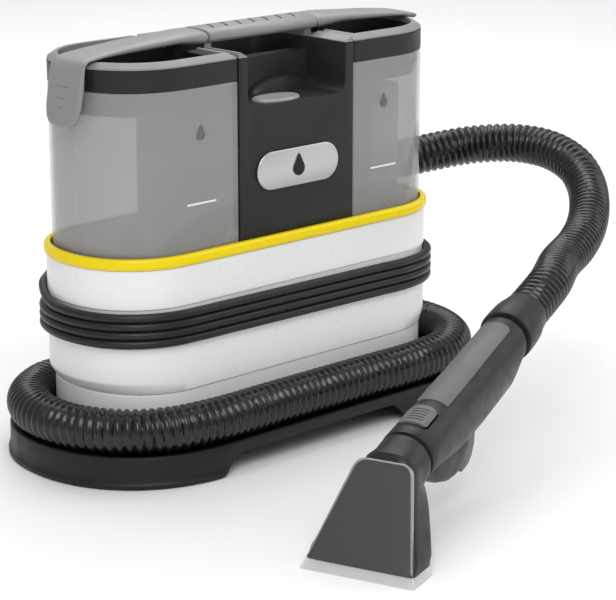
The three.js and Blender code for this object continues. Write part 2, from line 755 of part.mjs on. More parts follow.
function roundBar(stations, sides = 20) {
  return loft(stations.map(([x, z, ry, rz, power = 2]) =>
    oval(0, z, ry, rz, sides, power).map((p) => new THREE.Vector3(x, p.x, p.y))
  ));
}

function toolHandle() {
  const [r0, r1] = wand_radius;
  const barrel = roundBar([
    [0.4, 0, r0, r0], [24, -1, 20.2, 21.2], [70, -6.2, 19, 26], [100, -7.6, 18.5, 26], [156, -7.4, 18.3, 25.7],
    [172, -2.6, 18.7, 21.5], [wand_length, 0, r1, r1]
  ]);
  const pod = roundBar([[12, -14, 10, 8], [23, -19, 13, 12], [46, -30, 13.5, 15.5], [64, -35.5, 12.5, 13],
    [76, -34, 11.5, 12], [86, -28, 10, 9]]);
  const socket = pinAlongX(16.6, [-1, spigot_length + 2], 0, 0);
  const bore = pinAlongX(13, [spigot_length + 1, wand_length + 1], 0, 0);
  const inlay_seat = prismZ(rectangle([48, 170], [-12.4, 12.4], 10), [15.4, 40]);
  const latch_seat = prismZ(rectangle([14.1, 38.4], [-11.4, 11.4], 7.9), [14.5, 40]);
  const trigger_seat = block([65, 102], [-8.4, 8.4], [-60, -23]);
  const pin_bore = pinAlongY(2.3, [-12, 12], ...trigger_pivot, 16);
  return cut(join(barrel, pod), socket, bore, inlay_seat, latch_seat, trigger_seat, pin_bore);
}

function gripInlay() {
  const slab = prismZ(rectangle([48.4, 169.6], [-12, 12], 9.7), [15.7, 30]);
  return slab.intersect(roundBar([[40, 0, 20.6, 20.9], [100, 0, 19.6, 19.3], [156, 0, 19.4, 19.1], [180, 0, 19.4, 19.6]]));
}

function latchButton() {
  const pad = prismZ(rectangle([14.5, 38], [-11, 11], 7.5), [18.4, 30]);
  return pad.intersect(roundBar([[5, 0, 21, 22.4], [45, 0, 20.6, 22]]));
}

function sprayTrigger() {
  const lever = [
    [71.5, -52], [71, -48], [80, -44], [85, -36], [86.5, -25.5], [95, -25.5], [99.5, -34], [97, -41], [91, -48.5],
    [84, -52]
  ].map(([x, z]) => new THREE.Vector2(x, z));
  const paddle = prismY(lever.reverse(), [-8, 8]);
  return cut(paddle, pinAlongY(2.3, [-12, 12], ...trigger_pivot, 16));
}

function toolHoseCuff() {
  const [x0, x1] = [wand_length + gap, cuff_end];
  const outer = roundBar([
    [x0, 0, 21, 21], [x0 + 10, 0, 21.3, 21.3], [x0 + 20, 0, 20.9, 20.9], [x0 + 27, 0, 19.9, 19.9],
    [x0 + 33, 0, 18.6, 18.6], [x1, 0, 17.9, 17.9]
  ]);
  return cut(outer, pinAlongX(14, [x0 - 1, x1 + 1], 0, 0));
}

add('tool_handle', toolHandle(), charcoal, wand);
add('tool_grip_inlay', gripInlay(), mid_grey, wand);
add('latch_button', latchButton(), light_grey, wand);
add('spray_trigger', sprayTrigger(), mid_grey, wand);
add('trigger_pin', pinAlongY(2, [-9.4, 9.4], ...trigger_pivot, 16), steel, wand);
add('tool_hose_cuff', toolHoseCuff(), charcoal, wand);

// The nozzle runs from the flat mouth on the floor up to a round spigot in the handle. Each
// section spans from a front point to a rear point in the tool's middle plane.
const lip_height = 6;
const window_slope = Math.atan2(70.4, 45.3);

function nozzleSections(inset, front_inset = inset) {
  const tilt = THREE.MathUtils.degToRad(wand_tilt);
  const along = [Math.cos(tilt), Math.sin(tilt)];
  const up = [-Math.sin(tilt), Math.cos(tilt)];
  const wandPoint = (x, z) => [wand_start[0] + x * along[0] + z * up[0], wand_start[1] + x * along[1] + z * up[1]];
  const r = wand_radius[0] - 0.4;
  return [
    { front: [4.1, 6.4], rear: [32.5, 6.4], half: mouth_width / 2 - 2.2, power: 12 },
    { front: [14.5, 22.5], rear: [45, 20], half: 36, power: 9 },
    { front: [29, 45], rear: [60, 36], half: 28, power: 6 },
    { front: [43, 66.5], rear: [71, 41], half: 21.4, power: 3.4 },
    { front: wandPoint(-14, r - 2.4), rear: wandPoint(-10, -r), half: 20, power: 2.3 },
    { front: wandPoint(-0.6, r), rear: wandPoint(-0.6, -r), half: r, power: 2 }
  ].map(({ front, rear, half, power }) => {
    const depth = Math.hypot(front[0] - rear[0], front[1] - rear[1]);
    const toFront = [(front[0] - rear[0]) / depth, (front[1] - rear[1]) / depth];
    const reach = (depth - inset - front_inset) / 2;
    const middle = inset + reach; // distance from the rear point
    return oval(0, 0, half - inset, reach, 24, power).map((p) => new THREE.Vector3(
      rear[0] + toFront[0] * (middle + p.y), p.x, rear[1] + toFront[1] * (middle + p.y)
    ));
  });
}

// Moves a solid made in the window's own frame (x up the slope, z outwards) onto the nozzle.
function onWindow(geometry) {
  return geometry.rotateY(-window_slope);
}

function windowOutline(margin) {
  const [low, high] = [lip_height + 6 + margin, 82 - margin];
  const [wide, narrow] = [mouth_width / 2 - 3.4 - margin, 20.4 - margin];
  return [
    [low, -wide], [high - 8, -narrow - 1.6], [high - 2, -narrow + 4], [high, -narrow + 11],
    [high, narrow - 11], [high - 2, narrow - 4], [high - 8, narrow + 1.6], [low, wide]
  ].map(([x, y]) => new THREE.Vector2(x, y));
}

function nozzleBody() {
  const outer = loft(nozzleSections(0));
  const inner_loops = nozzleSections(3, 5.2);
  const below = inner_loops[0].map((p) => new THREE.Vector3(p.x - 2, p.y, p.z - 4));
  const tilt = THREE.MathUtils.degToRad(wand_tilt);
  const tail = inner_loops[inner_loops.length - 1].map((p) =>
    new THREE.Vector3(p.x + 4 * Math.cos(tilt), p.y, p.z + 4 * Math.sin(tilt)));
  const inner = loft([below, ...inner_loops, tail]);
  const spigot = turnedAlongX([[12.5, -1.5], [16, -1.5], [16, spigot_length], [12.5, spigot_length], [12.5, -1.5]])
    .rotateY(-tilt).translate(wand_start[0], 0, wand_start[1]);
  const seat = solid(onWindow(extruded(windowOutline(-0.4), 30).translate(0, 0, -2.4)));
  const opening = solid(onWindow(extruded(windowOutline(5), 30).translate(0, 0, -9)));
  return join(cut(outer, inner, seat, opening), solid(spigot));
}

function nozzleWindow() {
  return onWindow(extruded(windowOutline(0), 2.2).translate(0, 0, -2.1));
}

function nozzleLip() {
  const rim = (x0, x1, half, z) => [[x0, -half], [x1, -half], [x1, half], [x0, half]]
    .map(([x, y]) => new THREE.Vector3(x, y, z));
  const outer = loft([rim(0, 30, mouth_width / 2, 0), rim(3.6, 32.2, mouth_width / 2 - 2, lip_height)]);
  const inner = loft([rim(2.4, 27.6, mouth_width / 2 - 2.6, -1), rim(7, 29, mouth_width / 2 - 5, lip_height + 1)]);
  return cut(outer, inner);
}

function sprayJet() {
  const jet = turned([[0, 0], [3.2, 0], [5, 4], [5, 15], [3, 18], [0, 18]], 16);
  return jet.rotateY(THREE.MathUtils.degToRad(20)).translate(58, 0, 12);
}

add('nozzle_body', nozzleBody(), charcoal, tool);
add('nozzle_window', nozzleWindow(), smoke, tool);
add('nozzle_lip', nozzleLip(), clear, tool);
add('spray_jet', sprayJet(), black, tool);

// ---------------------------------------------------------------- origin
// The origin lies on the floor under the middle of the machine and its hand tool, cords left out.
const cord_nodes = new Set([
  'suction_hose', 'power_cord_lead', 'power_cord_wrap', 'power_cord_tail', 'power_plug', 'cord_gland'
]);

assembly.updateMatrixWorld(true);
const footprint = new THREE.Box3();
assembly.traverse((node) => {
  if (node.isMesh && !cord_nodes.has(node.name)) footprint.expandByObject(node, true);
});
const middle = footprint.getCenter(new THREE.Vector3());
assembly.position.set(-middle.x, -middle.y, -footprint.min.z);

export default assembly;
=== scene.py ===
"""Looks of the compact spot carpet cleaner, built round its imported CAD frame.

Shapes are written in millimetres in the machine's own frame: X along its long side, front at -Y, the
floor at z = 0 and the middle of the base tray at X = 3, Y = 0. place() turns them into the row frame.
"""
import math

import bmesh
import bpy
from mathutils import Matrix, Vector


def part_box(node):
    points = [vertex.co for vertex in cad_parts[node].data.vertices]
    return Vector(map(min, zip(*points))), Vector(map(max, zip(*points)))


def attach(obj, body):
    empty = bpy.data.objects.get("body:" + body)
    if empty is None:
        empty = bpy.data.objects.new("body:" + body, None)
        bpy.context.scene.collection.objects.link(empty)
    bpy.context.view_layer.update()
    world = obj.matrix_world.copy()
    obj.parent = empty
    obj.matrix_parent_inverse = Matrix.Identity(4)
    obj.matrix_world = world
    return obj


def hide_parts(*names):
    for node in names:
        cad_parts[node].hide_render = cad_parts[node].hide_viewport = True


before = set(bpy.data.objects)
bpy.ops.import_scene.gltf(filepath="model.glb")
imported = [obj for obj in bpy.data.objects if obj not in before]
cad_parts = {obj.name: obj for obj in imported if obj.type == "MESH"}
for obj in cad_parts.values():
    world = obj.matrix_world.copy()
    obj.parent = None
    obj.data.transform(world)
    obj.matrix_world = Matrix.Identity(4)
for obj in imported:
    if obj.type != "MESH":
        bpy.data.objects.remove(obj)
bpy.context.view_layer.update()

MM = 0.001
TRAY_LOW, TRAY_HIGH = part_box("base_tray")
BASE_SHIFT, BODY_SHIFT = 3, -2.5  # middles of the tray and of the housing along X
CENTRE = Vector(((TRAY_LOW[0] + TRAY_HIGH[0]) / 2 - BASE_SHIFT * MM, (TRAY_LOW[1] + TRAY_HIGH[1]) / 2, 0))

# ---------------------------------------------------------------- driving dimensions
HALF_STRAIGHT, END_REACH, HALF_WIDTH = 110, 65.6, 66
SQUARENESS = 2.14
BASE_REACH, HOSE_REACH = 68.4, 88
UPPER_REACH, UPPER_WIDTH = 60.5, 62
COLUMN_X = (-60, 58)
POCKET_X = (-51.6, 49.8)
POCKET_FLOOR_Z = 267.5
BUTTON = (-8, -45, 21.5, 13)  # middle and half sizes
TANK_FACE = {"fresh": -60.6, "dirty": 58.6}
SIDE = {"fresh": -1, "dirty": 1}
HANDLE_Y = -6  # middle of the carrying handle
LEG_HALF_WIDTH, LUG_HALF_WIDTH = 10, 6  # legs of its grip, hinge lugs of the lids
CREST_Z, GRIP_BOTTOM_Z = 322.5, 310.8
GRIP_X = (-54, 57.4)
HINGE_RADIUS, HINGE_Z = 9.4, 317
HINGE_X = {"fresh": GRIP_X[0] - 0.6 - HINGE_RADIUS, "dirty": GRIP_X[1] + 0.6 + HINGE_RADIUS}
TRAY_OFFSET = 33.8
TRAY_FLOOR_Z, TRAY_RIM_Z = 22, 25
BAND_Z = (22.3, 62)
HOUSING_Z = (62.3, 158.7)
HEM, HEM_Z = 6.1, 71  # the housing's foot draws in at each end, up to this level
TRIM_Z = (159, 167)
DECK_Z = 163.3
LID_Z = (289.5, 305.5)
RIM_LOW_Z, RIM_TOP_Z = 305.8, 310.5
SADDLE_Z, SADDLE_HALF_WIDTH = 307.2, 17.6  # low stretch of the rims under the handle

HOSE_RADIUS, HOSE_PITCH, RIB_DEPTH = 17.3, 6.4, 2.6
HOSE_STEP = 1.25  # distance between the hose's sections
HOSE_Y, HOSE_Z = 84, 40.4
PORT_CUFF_END = 75
CORD_RADIUS, CORD_TURNS, CORD_PITCH = 3.4, 4, 6.63
WRAP_Z = (99.9, 127.3)
WRAP_START_Z = 99.7

TOOL_AT = Vector((-175.7, -306, 0))
TOOL_HEADING, WAND_TILT = math.radians(19.5), math.radians(12.7)
WAND_START = Vector((76, 0, 60.5))
WAND_LENGTH, CUFF_END = 182, 222
MOUTH_WIDTH = 85


def place(point):
    return CENTRE + Vector(point) * MM


# ---------------------------------------------------------------- camera
CAMERA_AT = (-1137.2, -1282.4, 578.6)
CAMERA_AIM = (68.3, 0, 83.2)


def add_camera():
    data = bpy.data.cameras.new("camera")
    data.sensor_width = 36
    data.lens = 129.65
    data.clip_end = 20
    camera = bpy.data.objects.new("camera", data)
    bpy.context.collection.objects.link(camera)
    camera.location = place(CAMERA_AT)
    aim = place(CAMERA_AIM) - camera.location
    camera.rotation_euler = aim.to_track_quat("-Z", "Y").to_euler()
    bpy.context.scene.camera = camera


# ---------------------------------------------------------------- materials
def new_material(name, color, roughness, metallic=0.0, coat=0.0, specular=0.5):
    material = bpy.data.materials.new(name)
    material.use_nodes = True
    shader = material.node_tree.nodes["Principled BSDF"]
    shader.inputs["Base Color"].default_value = (*color, 1)
    shader.inputs["Roughness"].default_value = roughness
    shader.inputs["Metallic"].default_value = metallic
    shader.inputs["Coat Weight"].default_value = coat
    shader.inputs["Coat Roughness"].default_value = 0.12
    shader.inputs["Specular IOR Level"].default_value = specular
    return material, shader


def noise(material, scale, detail=3.0, stretch=(1, 1, 1)):
    nodes, links = material.node_tree.nodes, material.node_tree.links
    where = nodes.new("ShaderNodeTexCoord")
    mapping = nodes.new("ShaderNodeMapping")
    mapping.inputs["Scale"].default_value = stretch
    texture = nodes.new("ShaderNodeTexNoise")
    texture.inputs["Scale"].default_value = scale
    texture.inputs["Detail"].default_value = detail
    links.new(where.outputs["Object"], mapping.inputs["Vector"])
    links.new(mapping.outputs["Vector"], texture.inputs["Vector"])
    return texture.outputs["Fac"]


def ramp(material, source, low, high, stops=(0.35, 0.65)):
    nodes, links = material.node_tree.nodes, material.node_tree.links
    color_ramp = nodes.new("ShaderNodeValToRGB")
    for element, stop, value in zip(color_ramp.color_ramp.elements, stops, (low, high)):
        element.position = stop
        element.color = (*value, 1) if isinstance(value, tuple) else (value, value, value, 1)
    links.new(source, color_ramp.inputs["Fac"])
    return color_ramp.outputs["Color"]


def bump(material, shader, source, distance, strength=1.0):
    nodes, links = material.node_tree.nodes, material.node_tree.links
    node = nodes.new("ShaderNodeBump")
    node.inputs["Distance"].default_value = distance
    node.inputs["Strength"].default_value = strength
    links.new(source, node.inputs["Height"])
    links.new(node.outputs["Normal"], shader.inputs["Normal"])


def plastic(name, color, roughness, grain=2200, depth=0.00004, mottling=0.06, coat=0.0, specular=0.5):
    """Moulded plastic: fine eroded grain, slightly uneven gloss and colour."""
    material, shader = new_material(name, color, roughness, coat=coat, specular=specular)
    links = material.node_tree.links
    cloud = noise(material, 28, 4)
    dark = tuple(c * (1 - mottling) for c in color)
    light = tuple(min(c * (1 + mottling), 1) for c in color)
    links.new(ramp(material, cloud, dark, light), shader.inputs["Base Color"])
    wear = noise(material, 90, 5)
    links.new(ramp(material, wear, roughness - 0.05, roughness + 0.07), shader.inputs["Roughness"])
    bump(material, shader, noise(material, grain, 2), depth, 0.5)
    return material


def smoked(name, color, alpha, roughness=0.06):
    """Clear moulded plastic with a tint, its gloss a little uneven from the mould."""
    material, shader = new_material(name, color, roughness)
    shader.inputs["Alpha"].default_value = alpha
    gloss = ramp(material, noise(material, 12, 2), roughness, roughness + 0.06)
    material.node_tree.links.new(gloss, shader.inputs["Roughness"])
    return material


def brushed(name, color, roughness, stretch):
    material, shader = new_material(name, color, roughness, metallic=1.0)
    lines = noise(material, 900, 2, stretch)
    material.node_tree.links.new(
        ramp(material, lines, roughness - 0.04, roughness + 0.06), shader.inputs["Roughness"]
    )
    bump(material, shader, lines, 0.00001, 0.3)
    return material


def make_materials():
    return {
        "white": plastic("white_shell", (0.84, 0.845, 0.84), 0.32, 600, 0.00002, 0.006, coat=0.15),
        "yellow": plastic("yellow_gloss", (0.88, 0.68, 0.002), 0.32, 700, 0.000004, 0.006, specular=0.25),
        "charcoal": plastic("charcoal_grain", (0.019, 0.0195, 0.020), 0.42, specular=0.3),
        "lid": plastic("lid_dark", (0.016, 0.016, 0.017), 0.38, specular=0.3),
        "black": plastic("black_grain", (0.011, 0.011, 0.012), 0.44, specular=0.3),
        "tool": plastic("tool_grey", (0.017, 0.0173, 0.018), 0.40, 1400, 0.000006, specular=0.3),
        "arm": plastic("handle_grey", (0.255, 0.257, 0.26), 0.4, 1600, 0.00003, 0.04),
        "rim": plastic("rim_grey", (0.24, 0.242, 0.245), 0.42, 1600, 0.00003, 0.04),
        "inlay": plastic("inlay_grey", (0.13, 0.131, 0.133), 0.5, 1500, 0.00005, 0.05, specular=0.35),
        "button": plastic("button_grey", (0.31, 0.313, 0.32), 0.38, 1500, 0.00003, 0.03),
        "tank": smoked("smoked_tank", (0.43, 0.432, 0.435), 0.46),
        "duct": smoked("pale_duct", (0.60, 0.605, 0.61), 0.7, 0.2),
        "window": smoked("nozzle_clear", (0.060, 0.061, 0.063), 0.92, 0.22),
        "border": smoked("window_border", (0.34, 0.345, 0.35), 0.85, 0.1),
        "lip": smoked("clear_lip", (0.80, 0.81, 0.82), 0.5, 0.1),
        "hose": plastic("hose_gloss", (0.006, 0.006, 0.007), 0.30, 900, 0.00001, 0.1, coat=0.25,
                        specular=0.4),
        "cord": plastic("cord_sheath", (0.011, 0.011, 0.012), 0.4, 1500, 0.00003, 0.1, specular=0.4),
        "rubber": plastic("black_rubber", (0.012, 0.012, 0.012), 0.75, 1200, 0.00008, 0.15),
        "badge": brushed("badge_silver", (0.62, 0.63, 0.64), 0.36, (0.02, 1, 1)),
        "steel": brushed("zinc_steel", (0.55, 0.55, 0.56), 0.32, (1, 0.05, 1)),
        "board": plastic("circuit_board", (0.01, 0.09, 0.03), 0.4, 500, 0.0001, 0.25),
    }


# ---------------------------------------------------------------- outlines
def superellipse(t, reach, width, power=SQUARENESS):
    c, s = math.cos(t), math.sin(t)
    return (
        reach * math.copysign(abs(c) ** (2 / power), c),
        width * math.copysign(abs(s) ** (2 / power), s),
    )


def stadium(straight, reach, width, shift=0.0, steps=44):
    points = []
    for side in (1, -1):
        for i in range(steps + 1):
            t = (i / steps - 0.5) * math.pi
            x, y = superellipse(t, reach, width)
            points.append((shift + side * (straight + max(x, 0)), side * y))
    return points


def body_outline(offset):
    return stadium(HALF_STRAIGHT, END_REACH + offset, HALF_WIDTH + offset, BODY_SHIFT)


def band_outline(offset):
    return stadium(HALF_STRAIGHT, END_REACH - HEM + offset, HALF_WIDTH - 1 + offset, BODY_SHIFT)


def base_outline(offset):
    return stadium(HALF_STRAIGHT, BASE_REACH + offset, HALF_WIDTH + offset, BASE_SHIFT)


def fillet(points, radius, steps=5):
    """The closed outline with its corners rounded. radius is one number, or one for each corner."""
    count = len(points)
    radii = radius if isinstance(radius, (list, tuple)) else [radius] * count
    result = []
    for i, point in enumerate(points):
        here, before, after = Vector(point), Vector(points[i - 1]), Vector(points[(i + 1) % count])
        a, b = before - here, after - here
        half = a.angle(b) / 2
        reach = min(radii[i] / max(math.tan(half), 0.05), 0.48 * a.length, 0.48 * b.length)
        start, end = here + a.normalized() * reach, here + b.normalized() * reach
        for k in range(steps + 1):
            t = k / steps
            result.append(tuple(start * (1 - t) ** 2 + here * 2 * t * (1 - t) + end * t * t))
    return result


def tank_outline(which, corner=2.5):
    """Half of the stadium on one side of the column, as a function of its inset."""
    def outline(inset):
        side = SIDE[which]
        face = TANK_FACE[which] + side * inset
        reach, width = UPPER_REACH - inset, UPPER_WIDTH - inset
        end = []
        for i in range(49):
            x, y = superellipse((i / 48 - 0.5) * math.pi, reach, width)
            end.append((BODY_SHIFT + side * (HALF_STRAIGHT + max(x, 0)), y))
        r = max(corner - inset * 0.5, 1)
        inner = []
        for k in range(7):
            t = k / 6 * math.pi / 2
            inner.append((face + side * r * (1 - math.sin(t)), width - r * (1 - math.cos(t))))
        inner += [(x, -y) for x, y in reversed(inner)]
        return end + inner
    return outline


def pill(cx, cy, half_x, half_y, power=2.0, steps=48):
    points = []
    for i in range(steps):
        x, y = superellipse(i / steps * 2 * math.pi, half_x, half_y, power)
        points.append((cx + x, cy + y))
    return points


def capsule(x, z, steps=16):
    """A bar with half-round ends between two X and two Z values."""
    radius, middle = (z[1] - z[0]) / 2, (z[0] + z[1]) / 2
    points = []
    for centre, start in ((x[1] - radius, -90), (x[0] + radius, 90)):
        for k in range(steps + 1):
            t = math.radians(start + 180 * k / steps)
            points.append((centre + radius * math.cos(t), middle + radius * math.sin(t)))
    return points


# ---------------------------------------------------------------- skins
def ring(outline, profile):
    """A closed [offset, z] profile carried round an outline."""
    loops = [[(x, y, z) for x, y in outline(offset)] for offset, z in profile]
    return skin(loops, wrap=True)


def skin(loops, wrap=False):
    """Quads between matching loops. The row closes on itself, or each end has a cap."""
    count, rows = len(loops[0]), len(loops)
    verts = [tuple(p) for loop in loops for p in loop]
    faces = []
    for j in range(rows if wrap else rows - 1):
        k = (j + 1) % rows
        for i in range(count):
            n = (i + 1) % count
            faces.append((j * count + i, j * count + n, k * count + n, k * count + i))
    if not wrap:
        faces.append(tuple(reversed(range(count))))
        faces.append(tuple((rows - 1) * count + i for i in range(count)))
    return verts, faces


def slab(outline, low, high, axis="z"):
    """A prism. outline gives the two other axes in X, Y, Z order."""
    def at(a, b, c):
        return {"z": (a, b, c), "y": (a, c, b), "x": (c, a, b)}[axis]
    return skin([[at(a, b, level) for a, b in outline] for level in (low, high)])


def stack(outline, levels):
    """Loops of one outline function at [offset, z] levels, capped at both ends."""
    return skin([[(x, y, z) for x, y in outline(offset)] for offset, z in levels])


def cuboid(x, y, z):
    return slab([(x[0], y[0]), (x[1], y[0]), (x[1], y[1]), (x[0], y[1])], z[0], z[1])


def turned(profile, sides=48):
    """A closed [radius, height] profile turned about the Z axis."""
    loops = []
    for radius, height in profile:
        loops.append([
            (max(radius, 0.001) * math.cos(2 * math.pi * i / sides),
             max(radius, 0.001) * math.sin(2 * math.pi * i / sides), height)
            for i in range(sides)
        ])
    return skin(loops)


def moved(shape, matrix):
    verts, faces = shape
    return [tuple(matrix @ Vector(v)) for v in verts], faces


# ---------------------------------------------------------------- pieces
def build(name, shape, material=None):
    verts, faces = shape
    mesh = bpy.data.meshes.new(name)
    mesh.from_pydata([place(v) for v in verts], [], faces)
    tidy = bmesh.new()
    tidy.from_mesh(mesh)
    bmesh.ops.remove_doubles(tidy, verts=tidy.verts, dist=1e-6)
    bmesh.ops.recalc_face_normals(tidy, faces=tidy.faces)
    tidy.to_mesh(mesh)
    tidy.free()
    if material:
        mesh.materials.append(material)
    obj = bpy.data.objects.new(name, mesh)
    bpy.context.collection.objects.link(obj)
    return obj


def apply_modifiers(obj):
    evaluated = obj.evaluated_get(bpy.context.evaluated_depsgraph_get())
    mesh = bpy.data.meshes.new_from_object(evaluated)
    obj.modifiers.clear()
    obj.data = mesh


def combine(obj, *shapes, operation="DIFFERENCE"):
    """Cuts the shapes from obj, or joins them to it."""
    for shape in shapes:
        tool = build("cutter", shape)
        modifier = obj.modifiers.new("combine", "BOOLEAN")
        modifier.operation = operation
        modifier.solver = "EXACT"
        modifier.object = tool
        apply_modifiers(obj)
        bpy.data.objects.remove(tool)
    return obj


def bevel(obj, width, segments=3, angle=40):
    modifier = obj.modifiers.new("bevel", "BEVEL")
    modifier.width = width * MM
    modifier.segments = segments
    modifier.limit_method = "ANGLE"
    modifier.angle_limit = math.radians(angle)
    modifier.use_clamp_overlap = True
    apply_modifiers(obj)
    return obj


def smooth(obj, angle=38):
    for polygon in obj.data.polygons:
        polygon.use_smooth = True
    obj.data.set_sharp_from_angle(angle=math.radians(angle))
    return obj


def finished(obj, body, *nodes, slot=None, angle=38):
    smooth(obj, angle)
    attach(obj, body)
    if nodes:
        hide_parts(*nodes)
    return obj


def refined(node, body, material, width=0.6, segments=2, slot=None):
    """A copy of a CAD node with welded faces, softened edges and smooth shading."""
    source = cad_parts[node]
    obj = source.copy()
    obj.data = source.data.copy()
    obj.name = f"{node}_shell"
    obj.animation_data_clear()
    bpy.context.collection.objects.link(obj)
    obj.data.materials.clear()
    obj.data.materials.append(material)
    tidy = bmesh.new()
    tidy.from_mesh(obj.data)
    bmesh.ops.remove_doubles(tidy, verts=tidy.verts, dist=2e-6)
    bmesh.ops.dissolve_limit(tidy, angle_limit=math.radians(1), verts=tidy.verts, edges=tidy.edges)
    tidy.to_mesh(obj.data)
    tidy.free()
    bevel(obj, width, segments, 35)
    return finished(obj, body, node, slot=slot)


# ---------------------------------------------------------------- routes
def spline(points, step):
    """Points every step along the centripetal Catmull-Rom curve through the given ones."""
    knots = [Vector(p) for p in points]
    knots = [2 * knots[0] - knots[1], *knots, 2 * knots[-1] - knots[-2]]
    fine = []
    for p0, p1, p2, p3 in zip(knots, knots[1:], knots[2:], knots[3:]):
        t1 = (p1 - p0).length ** 0.5
        t2 = t1 + (p2 - p1).length ** 0.5
        t3 = t2 + (p3 - p2).length ** 0.5
        for i in range(24):
            t = t1 + (t2 - t1) * i / 24
            a1 = p0 * (t1 - t) / t1 + p1 * t / t1
            a2 = p1 * (t2 - t) / (t2 - t1) + p2 * (t - t1) / (t2 - t1)
            a3 = p2 * (t3 - t) / (t3 - t2) + p3 * (t - t2) / (t3 - t2)
            b1 = a1 * (t2 - t) / t2 + a2 * t / t2
            b2 = a2 * (t3 - t) / (t3 - t1) + a3 * (t - t1) / (t3 - t1)
            fine.append(b1 * (t2 - t) / (t2 - t1) + b2 * (t - t1) / (t2 - t1))
    fine.append(knots[-2])
    return spaced(fine, step)


def spaced(points, step):
    """The same polyline with its points a constant step apart."""
    lengths = [0.0]
    for a, b in zip(points, points[1:]):
        lengths.append(lengths[-1] + (b - a).length)
    count = max(round(lengths[-1] / step), 2)
    result, k = [], 0
    for i in range(count + 1):
        s = lengths[-1] * i / count
        while k < len(points) - 2 and lengths[k + 1] < s:
            k += 1
        span = max(lengths[k + 1] - lengths[k], 1e-9)
        result.append(points[k].lerp(points[k + 1], (s - lengths[k]) / span))
    return result


def on_wand(along, across=0.0, above=0.0):
    return WAND_FRAME @ Vector((along, across, above))


TOOL_FRAME = Matrix.Translation(TOOL_AT) @ Matrix.Rotation(TOOL_HEADING, 4, "Z")
WAND_FRAME = TOOL_FRAME @ Matrix.Translation(WAND_START) @ Matrix.Rotation(-WAND_TILT, 4, "Y")


def hose_route():
    """Round the tray from the socket at the back, then up behind the machine and over to the tool."""
    loop = stadium(HALF_STRAIGHT, HOSE_REACH, HOSE_Y, BASE_SHIFT, steps=14)
    right_end, left_end = loop[:15][::-1], loop[15:][::-1]
    return [
        (PORT_CUFF_END + 0.3, HOSE_Y, HOSE_Z),
        (92, HOSE_Y, HOSE_Z),
        *((x, y, HOSE_Z) for x, y in right_end[::2]),
        (40, -HOSE_Y, HOSE_Z),
        (-40, -HOSE_Y, HOSE_Z),
        *((x, y, HOSE_Z) for x, y in left_end[::2]),
        (-75, 86, 49.5), (-40, 89, 64), (-10, 91.5, 79.5), (20, 93.5, 94.5), (60, 95, 113.5),
        (110, 94.5, 134), (160, 90.5, 150), (205, 81, 160.5), (257, 60, 168.3), (302, 33, 175.5),
        (325, 0, 178.4), (332, -32, 176), (327, -64, 168), (316, -86, 157), (295, -108, 146),
        (265, -130, 136), (230, -149, 129), (192, -164.5, 124),
        on_wand(CUFF_END + 50),
        on_wand(CUFF_END + 0.3),
    ]


LEAD_ROUTE = [(-63.7, 73.5, 88), (-50, 73, 88.4), (-35, 71.6, 90), (-22, 70.6, 92), (-8, 70.4, 93.6)]
TAIL_ROUTE = [
    (-163, 50, 131.2), (-150, 61, 133), (-138, 68.5, 136), (-126, 76, 140), (-116, 82.5, 143.3),
    (-107, 86, 145), (-105.3, 86, 145),
]


def wound_turns():
    """The cord's turns round the housing, from the end of its lead to the start of its tail."""
    loop = [Vector((x, y, 0)) for x, y in stadium(
        HALF_STRAIGHT, END_REACH + CORD_RADIUS + 0.3, HALF_WIDTH + CORD_RADIUS - 0.9, BODY_SHIFT, 36)]
    loop = loop[::-1]
    first = min(range(len(loop)), key=lambda i: (loop[i] - Vector((30, HALF_WIDTH, 0))).length)
    loop = spaced(loop[first:] + loop[:first] + [loop[first]], 9)[:-1]
    last = min(range(len(loop)), key=lambda i: (loop[i] - Vector((-168, 43, 0))).length)
    count = (CORD_TURNS - 1) * len(loop) + last
    rise = 0.09  # share of a turn over which the cord lifts off towards its tail
    points = []
    for i in range(count):
        turns = i / len(loop)
        lift = (max(turns - (count / len(loop) - rise), 0) / rise) ** 2
        flat = loop[i % len(loop)]
        height = WRAP_START_Z + CORD_PITCH * turns + 4.4 * lift
        points.append(flat + flat.normalized() * 1.2 * lift + Vector((0, 0, height)))
    return points


# ---------------------------------------------------------------- cords
def add_hose(material):
    """Ribbed hose: one helical rib wound along the route."""
    path = spline(hose_route(), HOSE_STEP)
    sides = 28
    tangents = [(after - before).normalized() for before, after in
                zip([path[0], *path[:-1]], [*path[1:], path[-1]])]
    across = Vector((0, 0, 1))
    loops = []
    for i, (centre, tangent) in enumerate(zip(path, tangents)):
        across = (across - tangent * across.dot(tangent)).normalized()
        up = tangent.cross(across)
        loop = []
        for k in range(sides):
            turn = k / sides
            phase = i * HOSE_STEP / HOSE_PITCH - turn
            rib = abs(math.cos(math.pi * phase)) ** 0.8
            radius = HOSE_RADIUS - RIB_DEPTH * (1 - rib)
            angle = 2 * math.pi * turn
            loop.append(centre + (across * math.cos(angle) + up * math.sin(angle)) * radius)
        loops.append(loop)
    hose = build("suction_hose_ribbed", skin(loops), material)
    finished(hose, "machine", "suction_hose", slot="hose_plastic", angle=60)
    return hose, path


